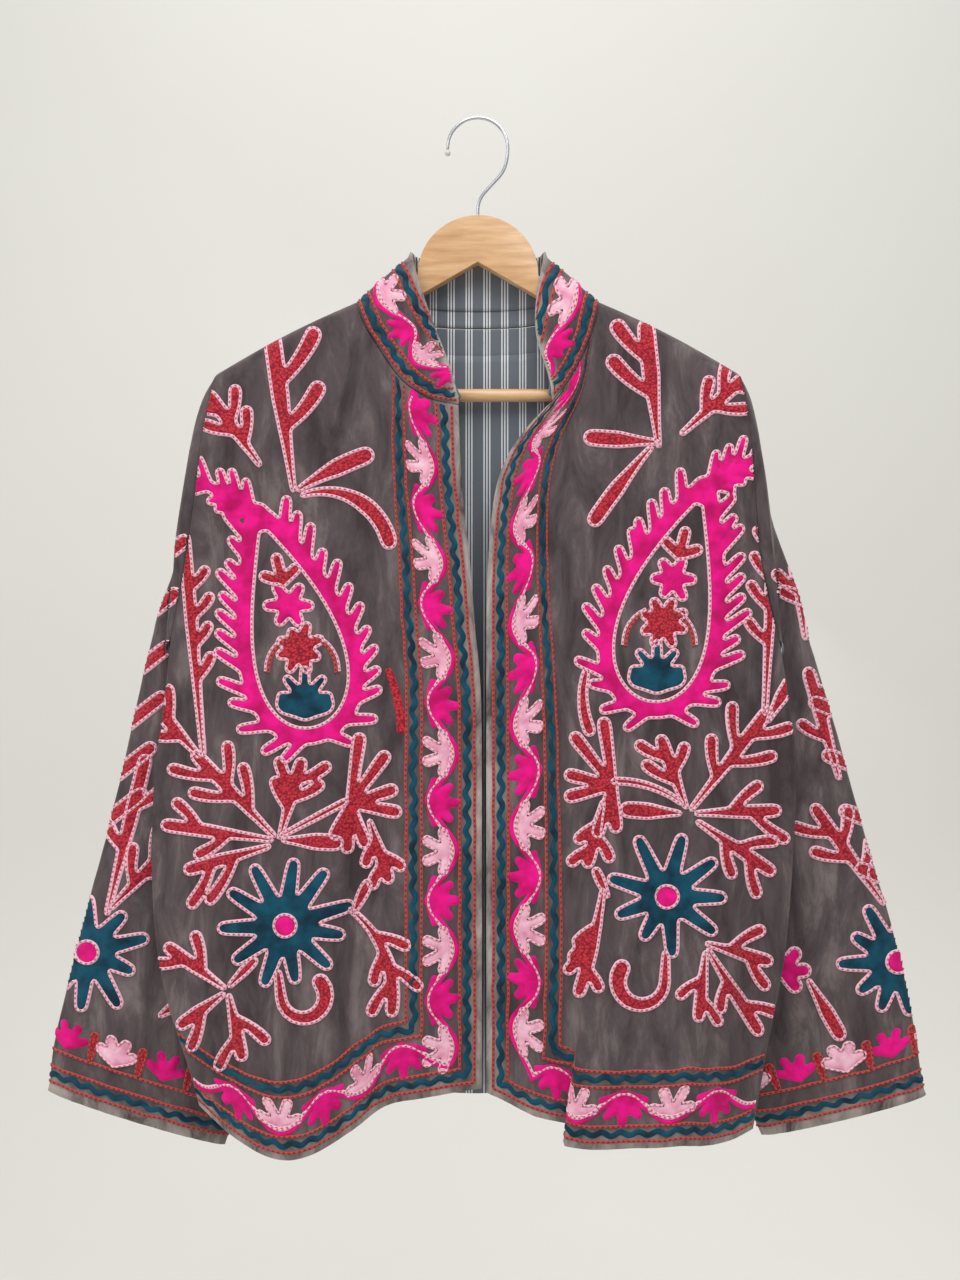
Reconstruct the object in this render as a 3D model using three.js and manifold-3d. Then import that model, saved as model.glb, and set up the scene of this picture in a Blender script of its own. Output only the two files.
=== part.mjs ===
// A velvet suzani jacket with a stand collar on a wooden hanger, in millimetres, +Z up.
// The front of the jacket faces -Y and the origin is the inner crown of the hanger's hook.
import * as THREE from 'three';
import Module from 'manifold-3d';
import { mergeVertices } from 'three/addons/utils/BufferGeometryUtils.js';

// ---- driving dimensions ----------------------------------------------------------------

const CLOTH = 2;                 // velvet wall
const LINING = 1;                // lining wall
const SEAM = 0.3;                // gap between two sewn pieces
const SEAM_FALL = 4;             // how steeply the inner wall falls away below a sewn top edge
const SHOULDER_ROUND = 12;       // how far below the shoulder seam the cloth turns level

const NECK_X = 101;              // where shoulder seam and neckline meet
const NECK_Z = -152;
const TIP_X = 214;               // where shoulder seam and armhole meet
const TIP_Z = -210;
const SHOULDER_CROWN = 3;        // the shoulder seam bows up by this
const UNDERARM_Z = -432;
const BACK_NECK_Z = -172;        // middle of the back neckline
const BACK_HEM_Z = -812;         // middle of the back hem

const ARM_ROWS = 10;             // grid rows along half an armhole
const SIDE_ROWS = 12;            // grid rows down a side seam
const COLLAR_ROWS = 4;
const FIT_STEPS = 12;            // steps to find where a slanted column meets the top and hem

const HUMP_RADIUS = 50;          // round head of the hanger
const HUMP_Z = -131;
const WOOD_THICK = 12;
const WOOD_UNDER_Z = -119.5;     // notch under the head
const WOOD_UNDER_SLOPE = Math.tan( THREE.MathUtils.degToRad( 30 ) );
const WOOD_DROP = 10;            // the arms lie this far below the shoulder seam
const WOOD_END_X = 204;
const WOOD_END_ROUND = 10;       // the arms' ends round out past that
const BAR_RADIUS = 5.4;
const BAR_Z = -229;
const BAR_HALF = 176;
const TENON_RADIUS = 3.5;
const TENON_HALF = 199;
const TENON_SLOPE = 2;           // the bar narrows to its tenons over this length
const WIRE_RADIUS = 1.65;
const HOOK_RADIUS = 25;          // centreline of the hook's arc
const HOOK_SWEEP = 1.02 * Math.PI;
const HOOK_STEPS = 18;
const HOOK_CORNER = { x: 24.5, z: - 40 };
const HOOK_FOOT = { x: 0.5, z: - 66 };
const HOOK_BEND = { below: 8, share: 0.25 };    // length of the bends beside the slanted run
const SHANK_DEPTH = 14;          // how far the wire goes into the head
const TIP_RADIUS = 2.6;

// ---- outlines: one row for each height, x outwards from the middle -----------------------

const ARMHOLE = {
	left: [
		{ z: - 210, x: 214 }, { z: - 240, x: 221 }, { z: - 280, x: 225 }, { z: - 320, x: 227 },
		{ z: - 360, x: 230 }, { z: - 400, x: 238 }, { z: - 432, x: 247 }, { z: - 482, x: 255 },
		{ z: - 532, x: 261 }, { z: - 590, x: 259 }, { z: - 648, x: 255 }, { z: - 698, x: 250 },
		{ z: - 748, x: 239 }, { z: - 798, x: 230 }, { z: - 830, x: 224 } ],
	right: [
		{ z: - 210, x: 214 }, { z: - 240, x: 222 }, { z: - 280, x: 228 }, { z: - 320, x: 232 },
		{ z: - 360, x: 238 }, { z: - 400, x: 245 }, { z: - 432, x: 252 }, { z: - 482, x: 257 },
		{ z: - 532, x: 264 }, { z: - 607, x: 267 }, { z: - 690, x: 262 }, { z: - 750, x: 247 },
		{ z: - 790, x: 232 }, { z: - 811, x: 227 } ],
};

// the depth in front of the hanger's plane of the side edges of front and back
const EDGE_FRONT = [
	{ z: - 210, y: 14 }, { z: - 240, y: 15 }, { z: - 300, y: 18 }, { z: - 380, y: 17 },
	{ z: - 432, y: 14 }, { z: - 600, y: 16 }, { z: - 840, y: 21 } ];
const EDGE_BACK = [
	{ z: - 210, y: 11 }, { z: - 240, y: 11 }, { z: - 300, y: 9 }, { z: - 340, y: 5 },
	{ z: - 380, y: 0 }, { z: - 410, y: - 5 }, { z: - 432, y: - 9 }, { z: - 600, y: - 11 },
	{ z: - 840, y: - 16 } ];

const FRONTS = {
	left: {                        // the wearer's left front, its edge opens like a lapel
		side: 1,
		edge: [
			{ z: - 235, x: 62 }, { z: - 246, x: 50 }, { z: - 263, x: 35 }, { z: - 280, x: 23 },
			{ z: - 298, x: 15.5 }, { z: - 320, x: 12 }, { z: - 345, x: 10 }, { z: - 380, x: 7.5 },
			{ z: - 460, x: 6.8 }, { z: - 800, x: 6.8 } ],
		neck: [
			{ x: 101, z: - 152 }, { x: 97, z: - 170 }, { x: 91, z: - 188 }, { x: 84, z: - 204 },
			{ x: 74, z: - 221 }, { x: 62, z: - 235 } ],
		hem: [
			{ x: 6.8, z: - 797 }, { x: 27, z: - 806 }, { x: 43, z: - 815 }, { x: 62, z: - 823 },
			{ x: 82, z: - 835 }, { x: 100, z: - 838 }, { x: 143, z: - 838 }, { x: 159, z: - 834 },
			{ x: 190, z: - 839 }, { x: 210, z: - 838 }, { x: 224, z: - 830 } ],
		shoulderColumns: [ 0, 0.12, 0.25, 0.38, 0.5, 0.61, 0.69, 0.75, 0.8, 0.84, 0.88, 0.92, 0.96, 1 ],
		neckColumns: [ 0.03, 0.1, 0.2, 0.32, 0.5, 0.72, 1 ],
	},
	right: {
		side: - 1,
		edge: [
			{ z: - 239, x: 16 }, { z: - 306, x: 13.2 }, { z: - 372, x: 6 }, { z: - 430, x: 1.7 },
			{ z: - 459, x: - 2 }, { z: - 528, x: - 3.2 }, { z: - 800, x: - 3.2 } ],
		neck: [
			{ x: 101, z: - 152 }, { x: 95, z: - 171 }, { x: 83, z: - 190 }, { x: 66, z: - 216 },
			{ x: 41, z: - 234 }, { x: 16, z: - 239 } ],
		hem: [
			{ x: - 3.2, z: - 792 }, { x: 40, z: - 797 }, { x: 68, z: - 803 }, { x: 88, z: - 817 },
			{ x: 106, z: - 829 }, { x: 136, z: - 845 }, { x: 156, z: - 847 }, { x: 190, z: - 838 },
			{ x: 212, z: - 826 }, { x: 227, z: - 811 } ],
		shoulderColumns: [ 0, 0.14, 0.29, 0.44, 0.59, 0.73, 0.87, 1 ],
		neckColumns: [ 0.025, 0.08, 0.16, 0.27, 0.39, 0.51, 0.63, 0.75, 0.88, 1 ],
	},
};

// the front's depth in its middle, the fronts belly out towards the hem
const FRONT_DEPTH = [
	{ z: - 152, y: 12 }, { z: - 232, y: 13.5 }, { z: - 300, y: 16 }, { z: - 400, y: 21 },
	{ z: - 500, y: 27 }, { z: - 600, y: 32 }, { z: - 700, y: 36 }, { z: - 850, y: 40 } ];
const FRONT_ROUND = 0.3;         // share of a front's width over which it rounds to that depth
const OPENING_DIP = { y: 2, from: 0.85 };   // the open edge lies back by this, past this share

const BACK_DEPTH = [
	{ z: - 152, y: 12 }, { z: - 300, y: 14 }, { z: - 500, y: 16 }, { z: - 820, y: 18 } ];
const BACK_ROUND = 0.28;
const BACK_HEM_LEVEL = 0.2;      // the back hem is level out to this share of its half width
const BACK_ROWS_EVEN = 0.5;      // past this share its rows follow each side's own heights
const BACK_SHOULDER_COLUMNS = 7;
const BACK_NECK_SHARES = [ 1, 0.98, 0.92, 0.78, 0.56, 0.29, 0 ];

// a sleeve lies behind the back here and presses it forwards
const PRESSED = { near: 105, far: 165, top: - 330, foot: - 450, y: - 7 };

// soft vertical folds: at x they stand out by rise, fading in between top and foot
const FOLDS = {
	left: [
		{ x: 165, lean: 6, width: 20, rise: 6, top: - 500, foot: - 820 },
		{ x: 205, lean: 10, width: 14, rise: - 5, top: - 560, foot: - 820 },
		{ x: 125, lean: 0, width: 18, rise: - 5, top: - 420, foot: - 780 },
		{ x: 40, lean: 4, width: 16, rise: 4, top: - 400, foot: - 700 } ],
	right: [
		{ x: 92, lean: - 8, width: 13, rise: - 10, top: - 430, foot: - 780 },
		{ x: 150, lean: 6, width: 28, rise: 7, top: - 480, foot: - 820 },
		{ x: 50, lean: - 4, width: 20, rise: 5, top: - 420, foot: - 760 },
		{ x: 205, lean: 8, width: 16, rise: - 4, top: - 520, foot: - 820 } ],
	back: [
		{ x: - 60, lean: - 10, width: 22, rise: 7, top: - 380, foot: - 780 },
		{ x: - 5, lean: 4, width: 18, rise: - 6, top: - 420, foot: - 780 },
		{ x: 52, lean: 12, width: 24, rise: 8, top: - 360, foot: - 780 } ],
};

// the wearer's left front laps over itself in one long S fold towards the hem: a step in depth
// that is steep at the fold and fades away from it, with the cloth turned under it
const LAP = {
	topZ: - 590, footZ: - 826, topX: 100, footX: 72, longest: 1.05,
	width: 15, depth: 17, half: 0.5, steep: 1.6, sink: 0.1, fade: 0.03,
	turn: 2, turnFrom: 0.15,
};

// sleeve rings: outer (o) and inner (i) ends, half depth b and how far the ring bows out
const SLEEVES = {
	left: {
		side: 1,
		rings: [
			{ ox: 225, oy: 0, oz: - 224, ix: 251, iy: - 8, iz: - 440, b: 15, bow: 0 },
			{ ox: 231, oy: 1, oz: - 248, ix: 251, iy: 0, iz: - 448, b: 16, bow: 0 },
			{ ox: 236, oy: 3, oz: - 283, ix: 246, iy: 9, iz: - 457, b: 16, bow: 4 },
			{ ox: 241, oy: 5, oz: - 320, ix: 236, iy: 17, iz: - 467, b: 16, bow: 7 },
			{ ox: 253, oy: 7, oz: - 355, ix: 222, iy: 21, iz: - 479, b: 16, bow: 6 },
			{ ox: 265, oy: 9, oz: - 390, ix: 206, iy: 24, iz: - 492, b: 16, bow: 3 },
			{ ox: 276, oy: 11, oz: - 425, ix: 192, iy: 25, iz: - 507, b: 18, bow: 0 },
			{ ox: 288, oy: 13, oz: - 462, ix: 181, iy: 26, iz: - 524, b: 20, bow: 0 },
			{ ox: 300, oy: 15, oz: - 500, ix: 173, iy: 26, iz: - 544, b: 21, bow: 0 },
			{ ox: 312, oy: 16, oz: - 540, ix: 168, iy: 26, iz: - 566, b: 22, bow: 0 },
			{ ox: 323, oy: 17, oz: - 580, ix: 166, iy: 26, iz: - 592, b: 22, bow: 0 },
			{ ox: 334, oy: 18, oz: - 617, ix: 167, iy: 25, iz: - 622, b: 21, bow: 0 },
			{ ox: 345, oy: 18, oz: - 654, ix: 171, iy: 24, iz: - 654, b: 20, bow: 0 },
			{ ox: 355, oy: 18, oz: - 692, ix: 177, iy: 23, iz: - 688, b: 19, bow: 0 },
			{ ox: 364, oy: 18, oz: - 729, ix: 186, iy: 22, iz: - 724, b: 17, bow: 0 },
			{ ox: 370, oy: 18, oz: - 765, ix: 198, iy: 21, iz: - 762, b: 15, bow: 0 },
			{ ox: 374, oy: 17, oz: - 793, ix: 214, iy: 19, iz: - 803, b: 13, bow: 0 },
			{ ox: 377, oy: 16, oz: - 815, ix: 239, iy: 17, iz: - 849, b: 11, bow: 0 } ],
	},
	right: {
		side: - 1,
		rings: [
			{ ox: 226, oy: 0, oz: - 223, ix: 259, iy: - 6, iz: - 441, b: 14, bow: 1 },
			{ ox: 234, oy: 1, oz: - 246, ix: 258, iy: 2, iz: - 449, b: 15, bow: 1 },
			{ ox: 239, oy: 3, oz: - 281, ix: 250, iy: 10, iz: - 457, b: 15, bow: 7 },
			{ ox: 242, oy: 6, oz: - 320, ix: 240, iy: 18, iz: - 467, b: 15, bow: 11 },
			{ ox: 249, oy: 8, oz: - 355, ix: 224, iy: 22, iz: - 479, b: 15, bow: 9 },
			{ ox: 259, oy: 10, oz: - 390, ix: 205, iy: 24, iz: - 492, b: 16, bow: 4 },
			{ ox: 272, oy: 11, oz: - 425, ix: 190, iy: 25, iz: - 507, b: 18, bow: 0 },
			{ ox: 282, oy: 13, oz: - 462, ix: 176, iy: 26, iz: - 524, b: 20, bow: 0 },
			{ ox: 291, oy: 15, oz: - 500, ix: 166, iy: 26, iz: - 544, b: 21, bow: 0 },
			{ ox: 300, oy: 16, oz: - 540, ix: 159, iy: 26, iz: - 566, b: 22, bow: 0 },
			{ ox: 310, oy: 17, oz: - 580, ix: 156, iy: 26, iz: - 592, b: 22, bow: 0 },
			{ ox: 320, oy: 18, oz: - 617, ix: 156, iy: 25, iz: - 622, b: 21, bow: 0 },
			{ ox: 330, oy: 18, oz: - 654, ix: 159, iy: 24, iz: - 654, b: 20, bow: 0 },
			{ ox: 340, oy: 18, oz: - 692, ix: 164, iy: 23, iz: - 688, b: 19, bow: 0 },
			{ ox: 349, oy: 18, oz: - 729, ix: 171, iy: 22, iz: - 724, b: 17, bow: 0 },
			{ ox: 357, oy: 18, oz: - 765, ix: 181, iy: 21, iz: - 764, b: 15, bow: 0 },
			{ ox: 361, oy: 17, oz: - 790, ix: 195, iy: 19, iz: - 808, b: 13, bow: 0 },
			{ ox: 362, oy: 16, oz: - 811, ix: 213, iy: 17, iz: - 857, b: 11, bow: 0 } ],
	},
};

// the collar's upper edge, from a front corner (s = 0) over the neck point (0.5) to the back (1)
const COLLAR_TOP = {
	left: [
		{ s: 0, x: 61, y: - 14, z: - 230 }, { s: 0.12, x: 57, y: - 14.5, z: - 212 },
		{ s: 0.24, x: 50, y: - 14.5, z: - 193 }, { s: 0.34, x: 46, y: - 14.5, z: - 172 },
		{ s: 0.42, x: 48, y: - 14, z: - 146 }, { s: 0.47, x: 54, y: - 10.5, z: - 122 },
		{ s: 0.5, x: 56, y: - 1, z: - 110 }, { s: 0.56, x: 52, y: 10.5, z: - 111 },
		{ s: 0.68, x: 38, y: 14, z: - 113 }, { s: 1, x: 0, y: 15, z: - 115 } ],
	right: [
		{ s: 0, x: 16.5, y: - 14, z: - 233 }, { s: 0.12, x: 21, y: - 14.5, z: - 213 },
		{ s: 0.24, x: 29, y: - 14.5, z: - 191 }, { s: 0.34, x: 38, y: - 14.5, z: - 168 },
		{ s: 0.42, x: 47, y: - 14, z: - 142 }, { s: 0.47, x: 53, y: - 10.5, z: - 121 },
		{ s: 0.5, x: 56, y: - 1, z: - 110 }, { s: 0.56, x: 52, y: 10.5, z: - 111 },
		{ s: 0.68, x: 38, y: 14, z: - 113 }, { s: 1, x: 0, y: 15, z: - 115 } ],
};
const COLLAR_BULGE = 3;          // the collar's face rounds out by this
const COLLAR_AWAY = { x: 0.5, y: 1, z: 0.3 };   // the way in which it rounds out

// ---- small tools -----------------------------------------------------------------------

const { clamp, lerp, smoothstep } = THREE.MathUtils;

// a smooth curve through the rows of a table, in either order of its key
function through( rows, key, value ) {

	const list = [ ...rows ].sort( ( a, b ) => a[ key ] - b[ key ] );
	return ( at ) => {

		const last = list.length - 1;
		if ( at <= list[ 0 ][ key ] ) return list[ 0 ][ value ];
		if ( at >= list[ last ][ key ] ) return list[ last ][ value ];
		let i = 0;
		while ( at > list[ i + 1 ][ key ] ) i ++;
		const slope = ( a, b ) =>
			( list[ b ][ value ] - list[ a ][ value ] ) / ( list[ b ][ key ] - list[ a ][ key ] );
		const width = list[ i + 1 ][ key ] - list[ i ][ key ];
		const startSlope = slope( Math.max( i - 1, 0 ), i + 1 ) * width;
		const endSlope = slope( i, Math.min( i + 2, last ) ) * width;
		const t = ( at - list[ i ][ key ] ) / width;
		const t2 = t * t;
		const t3 = t2 * t;
		return list[ i ][ value ] * ( 2 * t3 - 3 * t2 + 1 ) + startSlope * ( t3 - 2 * t2 + t )
			+ list[ i + 1 ][ value ] * ( 3 * t2 - 2 * t3 ) + endSlope * ( t3 - t2 );

	};

}

// a wall between an outer and an inner grid of points, rows going down and columns going so
// that the outer grid's faces look outwards; ring joins the last column to the first
function wall( outer, inner, ring = false ) {

	const rows = outer.length;
	const columns = outer[ 0 ].length;
	const places = [ ...outer.flat(), ...inner.flat() ].flatMap( ( p ) => [ p.x, p.y, p.z ] );
	const index = [];
	const at = ( side, i, j ) => side * rows * columns + i * columns + ( j % columns );
	const quad = ( a, b, c, d ) => index.push( a, b, c, a, c, d );
	const steps = ring ? columns : columns - 1;
	for ( let i = 0; i < rows - 1; i ++ ) {

		for ( let j = 0; j < steps; j ++ ) {

			quad( at( 0, i, j ), at( 0, i + 1, j ), at( 0, i + 1, j + 1 ), at( 0, i, j + 1 ) );
			quad( at( 1, i, j ), at( 1, i, j + 1 ), at( 1, i + 1, j + 1 ), at( 1, i + 1, j ) );

		}

		if ( ring ) continue;
		const end = columns - 1;
		quad( at( 0, i + 1, 0 ), at( 0, i, 0 ), at( 1, i, 0 ), at( 1, i + 1, 0 ) );
		quad( at( 0, i, end ), at( 0, i + 1, end ), at( 1, i + 1, end ), at( 1, i, end ) );

	}

	const foot = rows - 1;
	for ( let j = 0; j < steps; j ++ ) {

		quad( at( 0, 0, j ), at( 0, 0, j + 1 ), at( 1, 0, j + 1 ), at( 1, 0, j ) );
		quad( at( 0, foot, j + 1 ), at( 0, foot, j ), at( 1, foot, j ), at( 1, foot, j + 1 ) );

	}

	const geometry = new THREE.BufferGeometry();
	geometry.setAttribute( 'position', new THREE.Float32BufferAttribute( places, 3 ) );
	geometry.setIndex( index );
	return geometry;

}

// the outward direction at each point of a grid
function outward( grid, ring = false ) {

	const rows = grid.length;
	const columns = grid[ 0 ].length;
	const column = ( j ) => ring ? ( j + columns ) % columns : clamp( j, 0, columns - 1 );
	return grid.map( ( row, i ) => row.map( ( p, j ) => {

		const down = grid[ Math.min( i + 1, rows - 1 ) ][ j ].clone().sub( grid[ Math.max( i - 1, 0 ) ][ j ] );
		const across = row[ column( j + 1 ) ].clone().sub( row[ column( j - 1 ) ] );
		return down.cross( across ).normalize();

	} ) );

}

const shifted = ( grid, directions, distance ) => grid.map( ( row, i ) =>
	row.map( ( p, j ) => p.clone().addScaledVector( directions[ i ][ j ], distance ) ) );

function solid( wasm, geometry ) {

	const bare = geometry.clone();
	bare.deleteAttribute( 'normal' );
	bare.deleteAttribute( 'uv' );
	const merged = mergeVertices( bare, 1e-3 );
	return new wasm.Manifold( new wasm.Mesh( {
		numProp: 3,
		vertProperties: new Float32Array( merged.attributes.position.array ),
		triVerts: new Uint32Array( merged.index.array ),
	} ) );

}

function fromSolid( body ) {

	const mesh = body.getMesh();
	const geometry = new THREE.BufferGeometry();
	geometry.setAttribute( 'position', new THREE.Float32BufferAttribute( mesh.vertProperties, 3 ) );
	geometry.setIndex( Array.from( mesh.triVerts ) );
	return geometry;

}

const group = new THREE.Group();

function add( name, geometry, material ) {

	const mesh = new THREE.Mesh( geometry, material );
	mesh.name = name;
	group.add( mesh );

}

const finish = ( color, roughness, metalness = 0 ) =>
	new THREE.MeshStandardMaterial( { color, roughness, metalness } );
const velvet = () => finish( 0x50454a, 0.95 );
const stripedLining = () => finish( 0x576165, 0.8 );
const beech = () => finish( 0xce9e6e, 0.5 );
const polishedSteel = () => finish( 0xc8c9cb, 0.25, 1 );
const clearRubber = () => finish( 0xd8d6cf, 0.5 );

// ---- shoulders, folds and edges shared by the panels ---------------------------------------

const shoulderZ = ( x ) => {

	const t = clamp( ( Math.abs( x ) - NECK_X ) / ( TIP_X - NECK_X ), 0, 1 );
	return lerp( NECK_Z, TIP_Z, t ) + SHOULDER_CROWN * Math.sin( Math.PI * t );

};

// 0 on the shoulder seam, 1 where the cloth has turned down
const turned = ( x, z ) => {

	const t = clamp( ( shoulderZ( x ) - z ) / SHOULDER_ROUND, 0, 1 );
	return Math.sqrt( 1 - ( 1 - t ) ** 2 );

};

const foldRise = ( folds, x, z ) => folds.reduce( ( sum, fold ) => {

	const run = clamp( ( fold.top - z ) / ( fold.top - fold.foot ), 0, 1.1 );
	const q = ( x - fold.x - fold.lean * run ) / fold.width;
	return sum + fold.rise * smoothstep( run, 0, 1 ) * Math.exp( - q * q );

}, 0 );

// the heights of the rows where a panel's side edge crosses them, closer at both ends
function edgeHeights( hemZ ) {

	const heights = [];
	const middle = ( TIP_Z + UNDERARM_Z ) / 2;
	const half = ( TIP_Z - UNDERARM_Z ) / 2;
	for ( let i = 0; i <= ARM_ROWS; i ++ ) {

		heights.push( middle + half * Math.cos( Math.PI * i / ARM_ROWS ) );

	}

	for ( let i = 1; i <= SIDE_ROWS; i ++ ) heights.push( lerp( UNDERARM_Z, hemZ, i / SIDE_ROWS ) );
	return heights;

}

const edgeFront = through( EDGE_FRONT, 'z', 'y' );
const edgeBack = through( EDGE_BACK, 'z', 'y' );

// the way from the outer to the inner wall at a sewn top edge, the same on both sewn pieces
const seamInward = ( p ) => new THREE.Vector3( 0, - p.y, - SEAM_FALL ).normalize();

// ---- fronts ------------------------------------------------------------------------------

const frontDepth = through( FRONT_DEPTH, 'z', 'y' );

function frontGrid( name ) {

	const front = FRONTS[ name ];
	const sideX = through( ARMHOLE[ name ], 'z', 'x' );
	const edgeX = through( front.edge, 'z', 'x' );
	const neckZ = through( front.neck, 'x', 'z' );
	const hemZ = through( front.hem, 'x', 'z' );
	const topZ = ( x ) => x > NECK_X ? shoulderZ( x ) : neckZ( x );
	const cornerZ = front.hem[ front.hem.length - 1 ].z;
	const heights = edgeHeights( cornerZ );
	const lapped = name === 'left';

	const place = ( u, share ) => {

		let top = TIP_Z;
		let foot = cornerZ;
		const xAt = ( z ) => lerp( sideX( z ), edgeX( z ), u );
		for ( let i = 0; i < FIT_STEPS; i ++ ) {

			top = topZ( xAt( top ) );
			foot = hemZ( xAt( foot ) );

		}

		const z = lerp( top, foot, share );
		let x = xAt( z );
		const rounded = smoothstep( u, 0, FRONT_ROUND );
		let depth = lerp( edgeFront( z ), frontDepth( z ), rounded );
		depth -= OPENING_DIP.y * smoothstep( u, OPENING_DIP.from, 1 );
		depth = Math.max( SEAM / 2, depth * turned( x, z ) );
		depth += foldRise( FOLDS[ name ], x, z ) * rounded;
		if ( lapped ) {

			const run = clamp( ( LAP.topZ - z ) / ( LAP.topZ - LAP.footZ ), 0, LAP.longest );
			const q = ( x - lerp( LAP.topX, LAP.footX, run ) ) / LAP.width;
			const step = LAP.half * Math.tanh( LAP.steep * q ) - LAP.sink;
			depth += LAP.depth * smoothstep( run, 0, 1 ) * step * Math.exp( - q * q * LAP.fade );
			x -= LAP.width * q * LAP.turn * smoothstep( run, LAP.turnFrom, 1 ) * Math.exp( - q * q );

		}

		return new THREE.Vector3( front.side * x, - depth, z );

	};

	const neckShare = ( TIP_X - NECK_X ) / ( TIP_X - front.neck.at( - 1 ).x );
	const columns = [
		...front.shoulderColumns.map( ( t ) => t * neckShare ),
		...front.neckColumns.map( ( t ) => lerp( neckShare, 1, t ) ) ];
	const order = front.side > 0 ? columns.reverse() : columns;
	return heights.map( ( height ) => {

		const share = ( TIP_Z - height ) / ( TIP_Z - cornerZ );
		return order.map( ( u ) => place( u, share ) );

	} );

}

// the inner wall of a panel: level across sewn sides, straight in at a sewn top
function panelInner( grid, thickness ) {

	const directions = outward( grid ).map( ( row, i ) => row.map( ( n, j ) => {

		if ( i === 0 ) return seamInward( grid[ 0 ][ j ] ).negate();
		if ( j === 0 || j === row.length - 1 ) return n.clone().setX( 0 ).normalize();
		return n;

	} ) );
	return shifted( grid, directions, - thickness );

}

const frontLeft = frontGrid( 'left' );
const frontRight = frontGrid( 'right' );
add( 'front_left', wall( frontLeft, panelInner( frontLeft, CLOTH ) ), velvet() );
add( 'front_right', wall( frontRight, panelInner( frontRight, CLOTH ) ), velvet() );

// ---- back and its lining -----------------------------------------------------------------

const backDepth = through( BACK_DEPTH, 'z', 'y' );

function backColumns() {

	const neckShare = NECK_X / TIP_X;
	const columns = [];
	for ( let i = 0; i < BACK_SHOULDER_COLUMNS; i ++ ) {

		columns.push( lerp( 1, neckShare, i / BACK_SHOULDER_COLUMNS ) );

	}

	for ( const share of BACK_NECK_SHARES ) columns.push( neckShare * share );
	return [ ...columns, ...columns.slice( 0, - 1 ).reverse().map( ( u ) => - u ) ];

}

function backGrid() {

	const sideX = { 1: through( ARMHOLE.left, 'z', 'x' ), '-1': through( ARMHOLE.right, 'z', 'x' ) };
	const cornerZ = { 1: ARMHOLE.left.at( - 1 ).z, '-1': ARMHOLE.right.at( - 1 ).z };
	const heights = { 1: edgeHeights( cornerZ[ 1 ] ), '-1': edgeHeights( cornerZ[ - 1 ] ) };
	const neckZ = ( x ) => BACK_NECK_Z + ( NECK_Z - BACK_NECK_Z ) * Math.abs( x / NECK_X ) ** 3;

	return heights[ 1 ].map( ( height, row ) => backColumns().map( ( u ) => {

		const side = u < 0 ? - 1 : 1;
		const across = Math.abs( u );
		const xTop = across * TIP_X;
		const top = xTop > NECK_X ? shoulderZ( xTop ) : neckZ( xTop );
		const foot = lerp( BACK_HEM_Z, cornerZ[ side ], smoothstep( across, BACK_HEM_LEVEL, 1 ) );
		const share = ( TIP_Z - heights[ side ][ row ] ) / ( TIP_Z - cornerZ[ side ] );
		const middleShare = ( TIP_Z - ( height + heights[ - 1 ][ row ] ) / 2 )
			/ ( TIP_Z - ( cornerZ[ 1 ] + cornerZ[ - 1 ] ) / 2 );
		const z = lerp( top, foot, lerp( middleShare, share, smoothstep( across, 0, BACK_ROWS_EVEN ) ) );
		const x = across * sideX[ side ]( z );
		const pressed = smoothstep( x, PRESSED.near, PRESSED.far )
			* smoothstep( - z, - PRESSED.top, - PRESSED.foot );
		const rounded = smoothstep( 1 - across, 0, BACK_ROUND );
		const middle = lerp( backDepth( z ), PRESSED.y, pressed );
		let depth = lerp( edgeBack( z ), middle, rounded );
		if ( depth > 0 ) depth = Math.max( SEAM / 2, depth * turned( x, z ) );
		depth += foldRise( FOLDS.back, side * x, z ) * ( 1 - pressed ) * rounded;
		return new THREE.Vector3( side * x, depth, z );

	} ) );

}

const back = backGrid();
add( 'back_panel', wall( back, panelInner( back, CLOTH ) ), velvet() );

const liningGrid = back.slice( 2 ).map( ( row ) => row.slice( 1, - 1 ) );
const liningOut = outward( back ).slice( 2 ).map( ( row ) => row.slice( 1, - 1 ) );
add( 'back_lining', wall(
	shifted( liningGrid, liningOut, - CLOTH - SEAM ),
	shifted( liningGrid, liningOut, - CLOTH - SEAM - LINING ),
), stripedLining() );

// ---- sleeves -----------------------------------------------------------------------------

function sleeveGrid( name ) {

	const { side, rings } = SLEEVES[ name ];
	const sideX = through( ARMHOLE[ name ], 'z', 'x' );
	const around = 2 * ARM_ROWS;
	const heights = edgeHeights( ARMHOLE[ name ].at( - 1 ).z );

	// the armhole, from the shoulder down the front to the underarm and up the back
	const armhole = [];
	for ( let j = 0; j < around; j ++ ) {

		const inFront = j <= ARM_ROWS;
		const z = heights[ inFront ? j : around - j ];
		const x = sideX( z );
		const frontY = - Math.max( SEAM / 2, edgeFront( z ) * turned( x, z ) );
		const level = edgeBack( z );
		const backY = level > 0 ? Math.max( SEAM / 2, level * turned( x, z ) ) : level;
		let y = inFront ? frontY : backY;
		if ( j === 0 || j === ARM_ROWS ) y = ( frontY + backY ) / 2;
		armhole.push( new THREE.Vector3( side * ( x + SEAM ), y, z ) );

	}

	const grid = [ armhole ];
	for ( const ring of rings ) {

		const points = [];
		for ( let j = 0; j < around; j ++ ) {

			const turn = 2 * Math.PI * j / around;
			const t = ( 1 - Math.cos( turn ) ) / 2;
			points.push( new THREE.Vector3(
				side * ( lerp( ring.ox, ring.ix, t ) + ring.bow * Math.sin( Math.PI * t ) ),
				lerp( ring.oy, ring.iy, t ) - ring.b * Math.sin( turn ),
				lerp( ring.oz, ring.iz, t ) ) );

		}

		grid.push( points );

	}

	return side > 0 ? grid.map( ( row ) => [ row[ 0 ], ...row.slice( 1 ).reverse() ] ) : grid;

}

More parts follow.
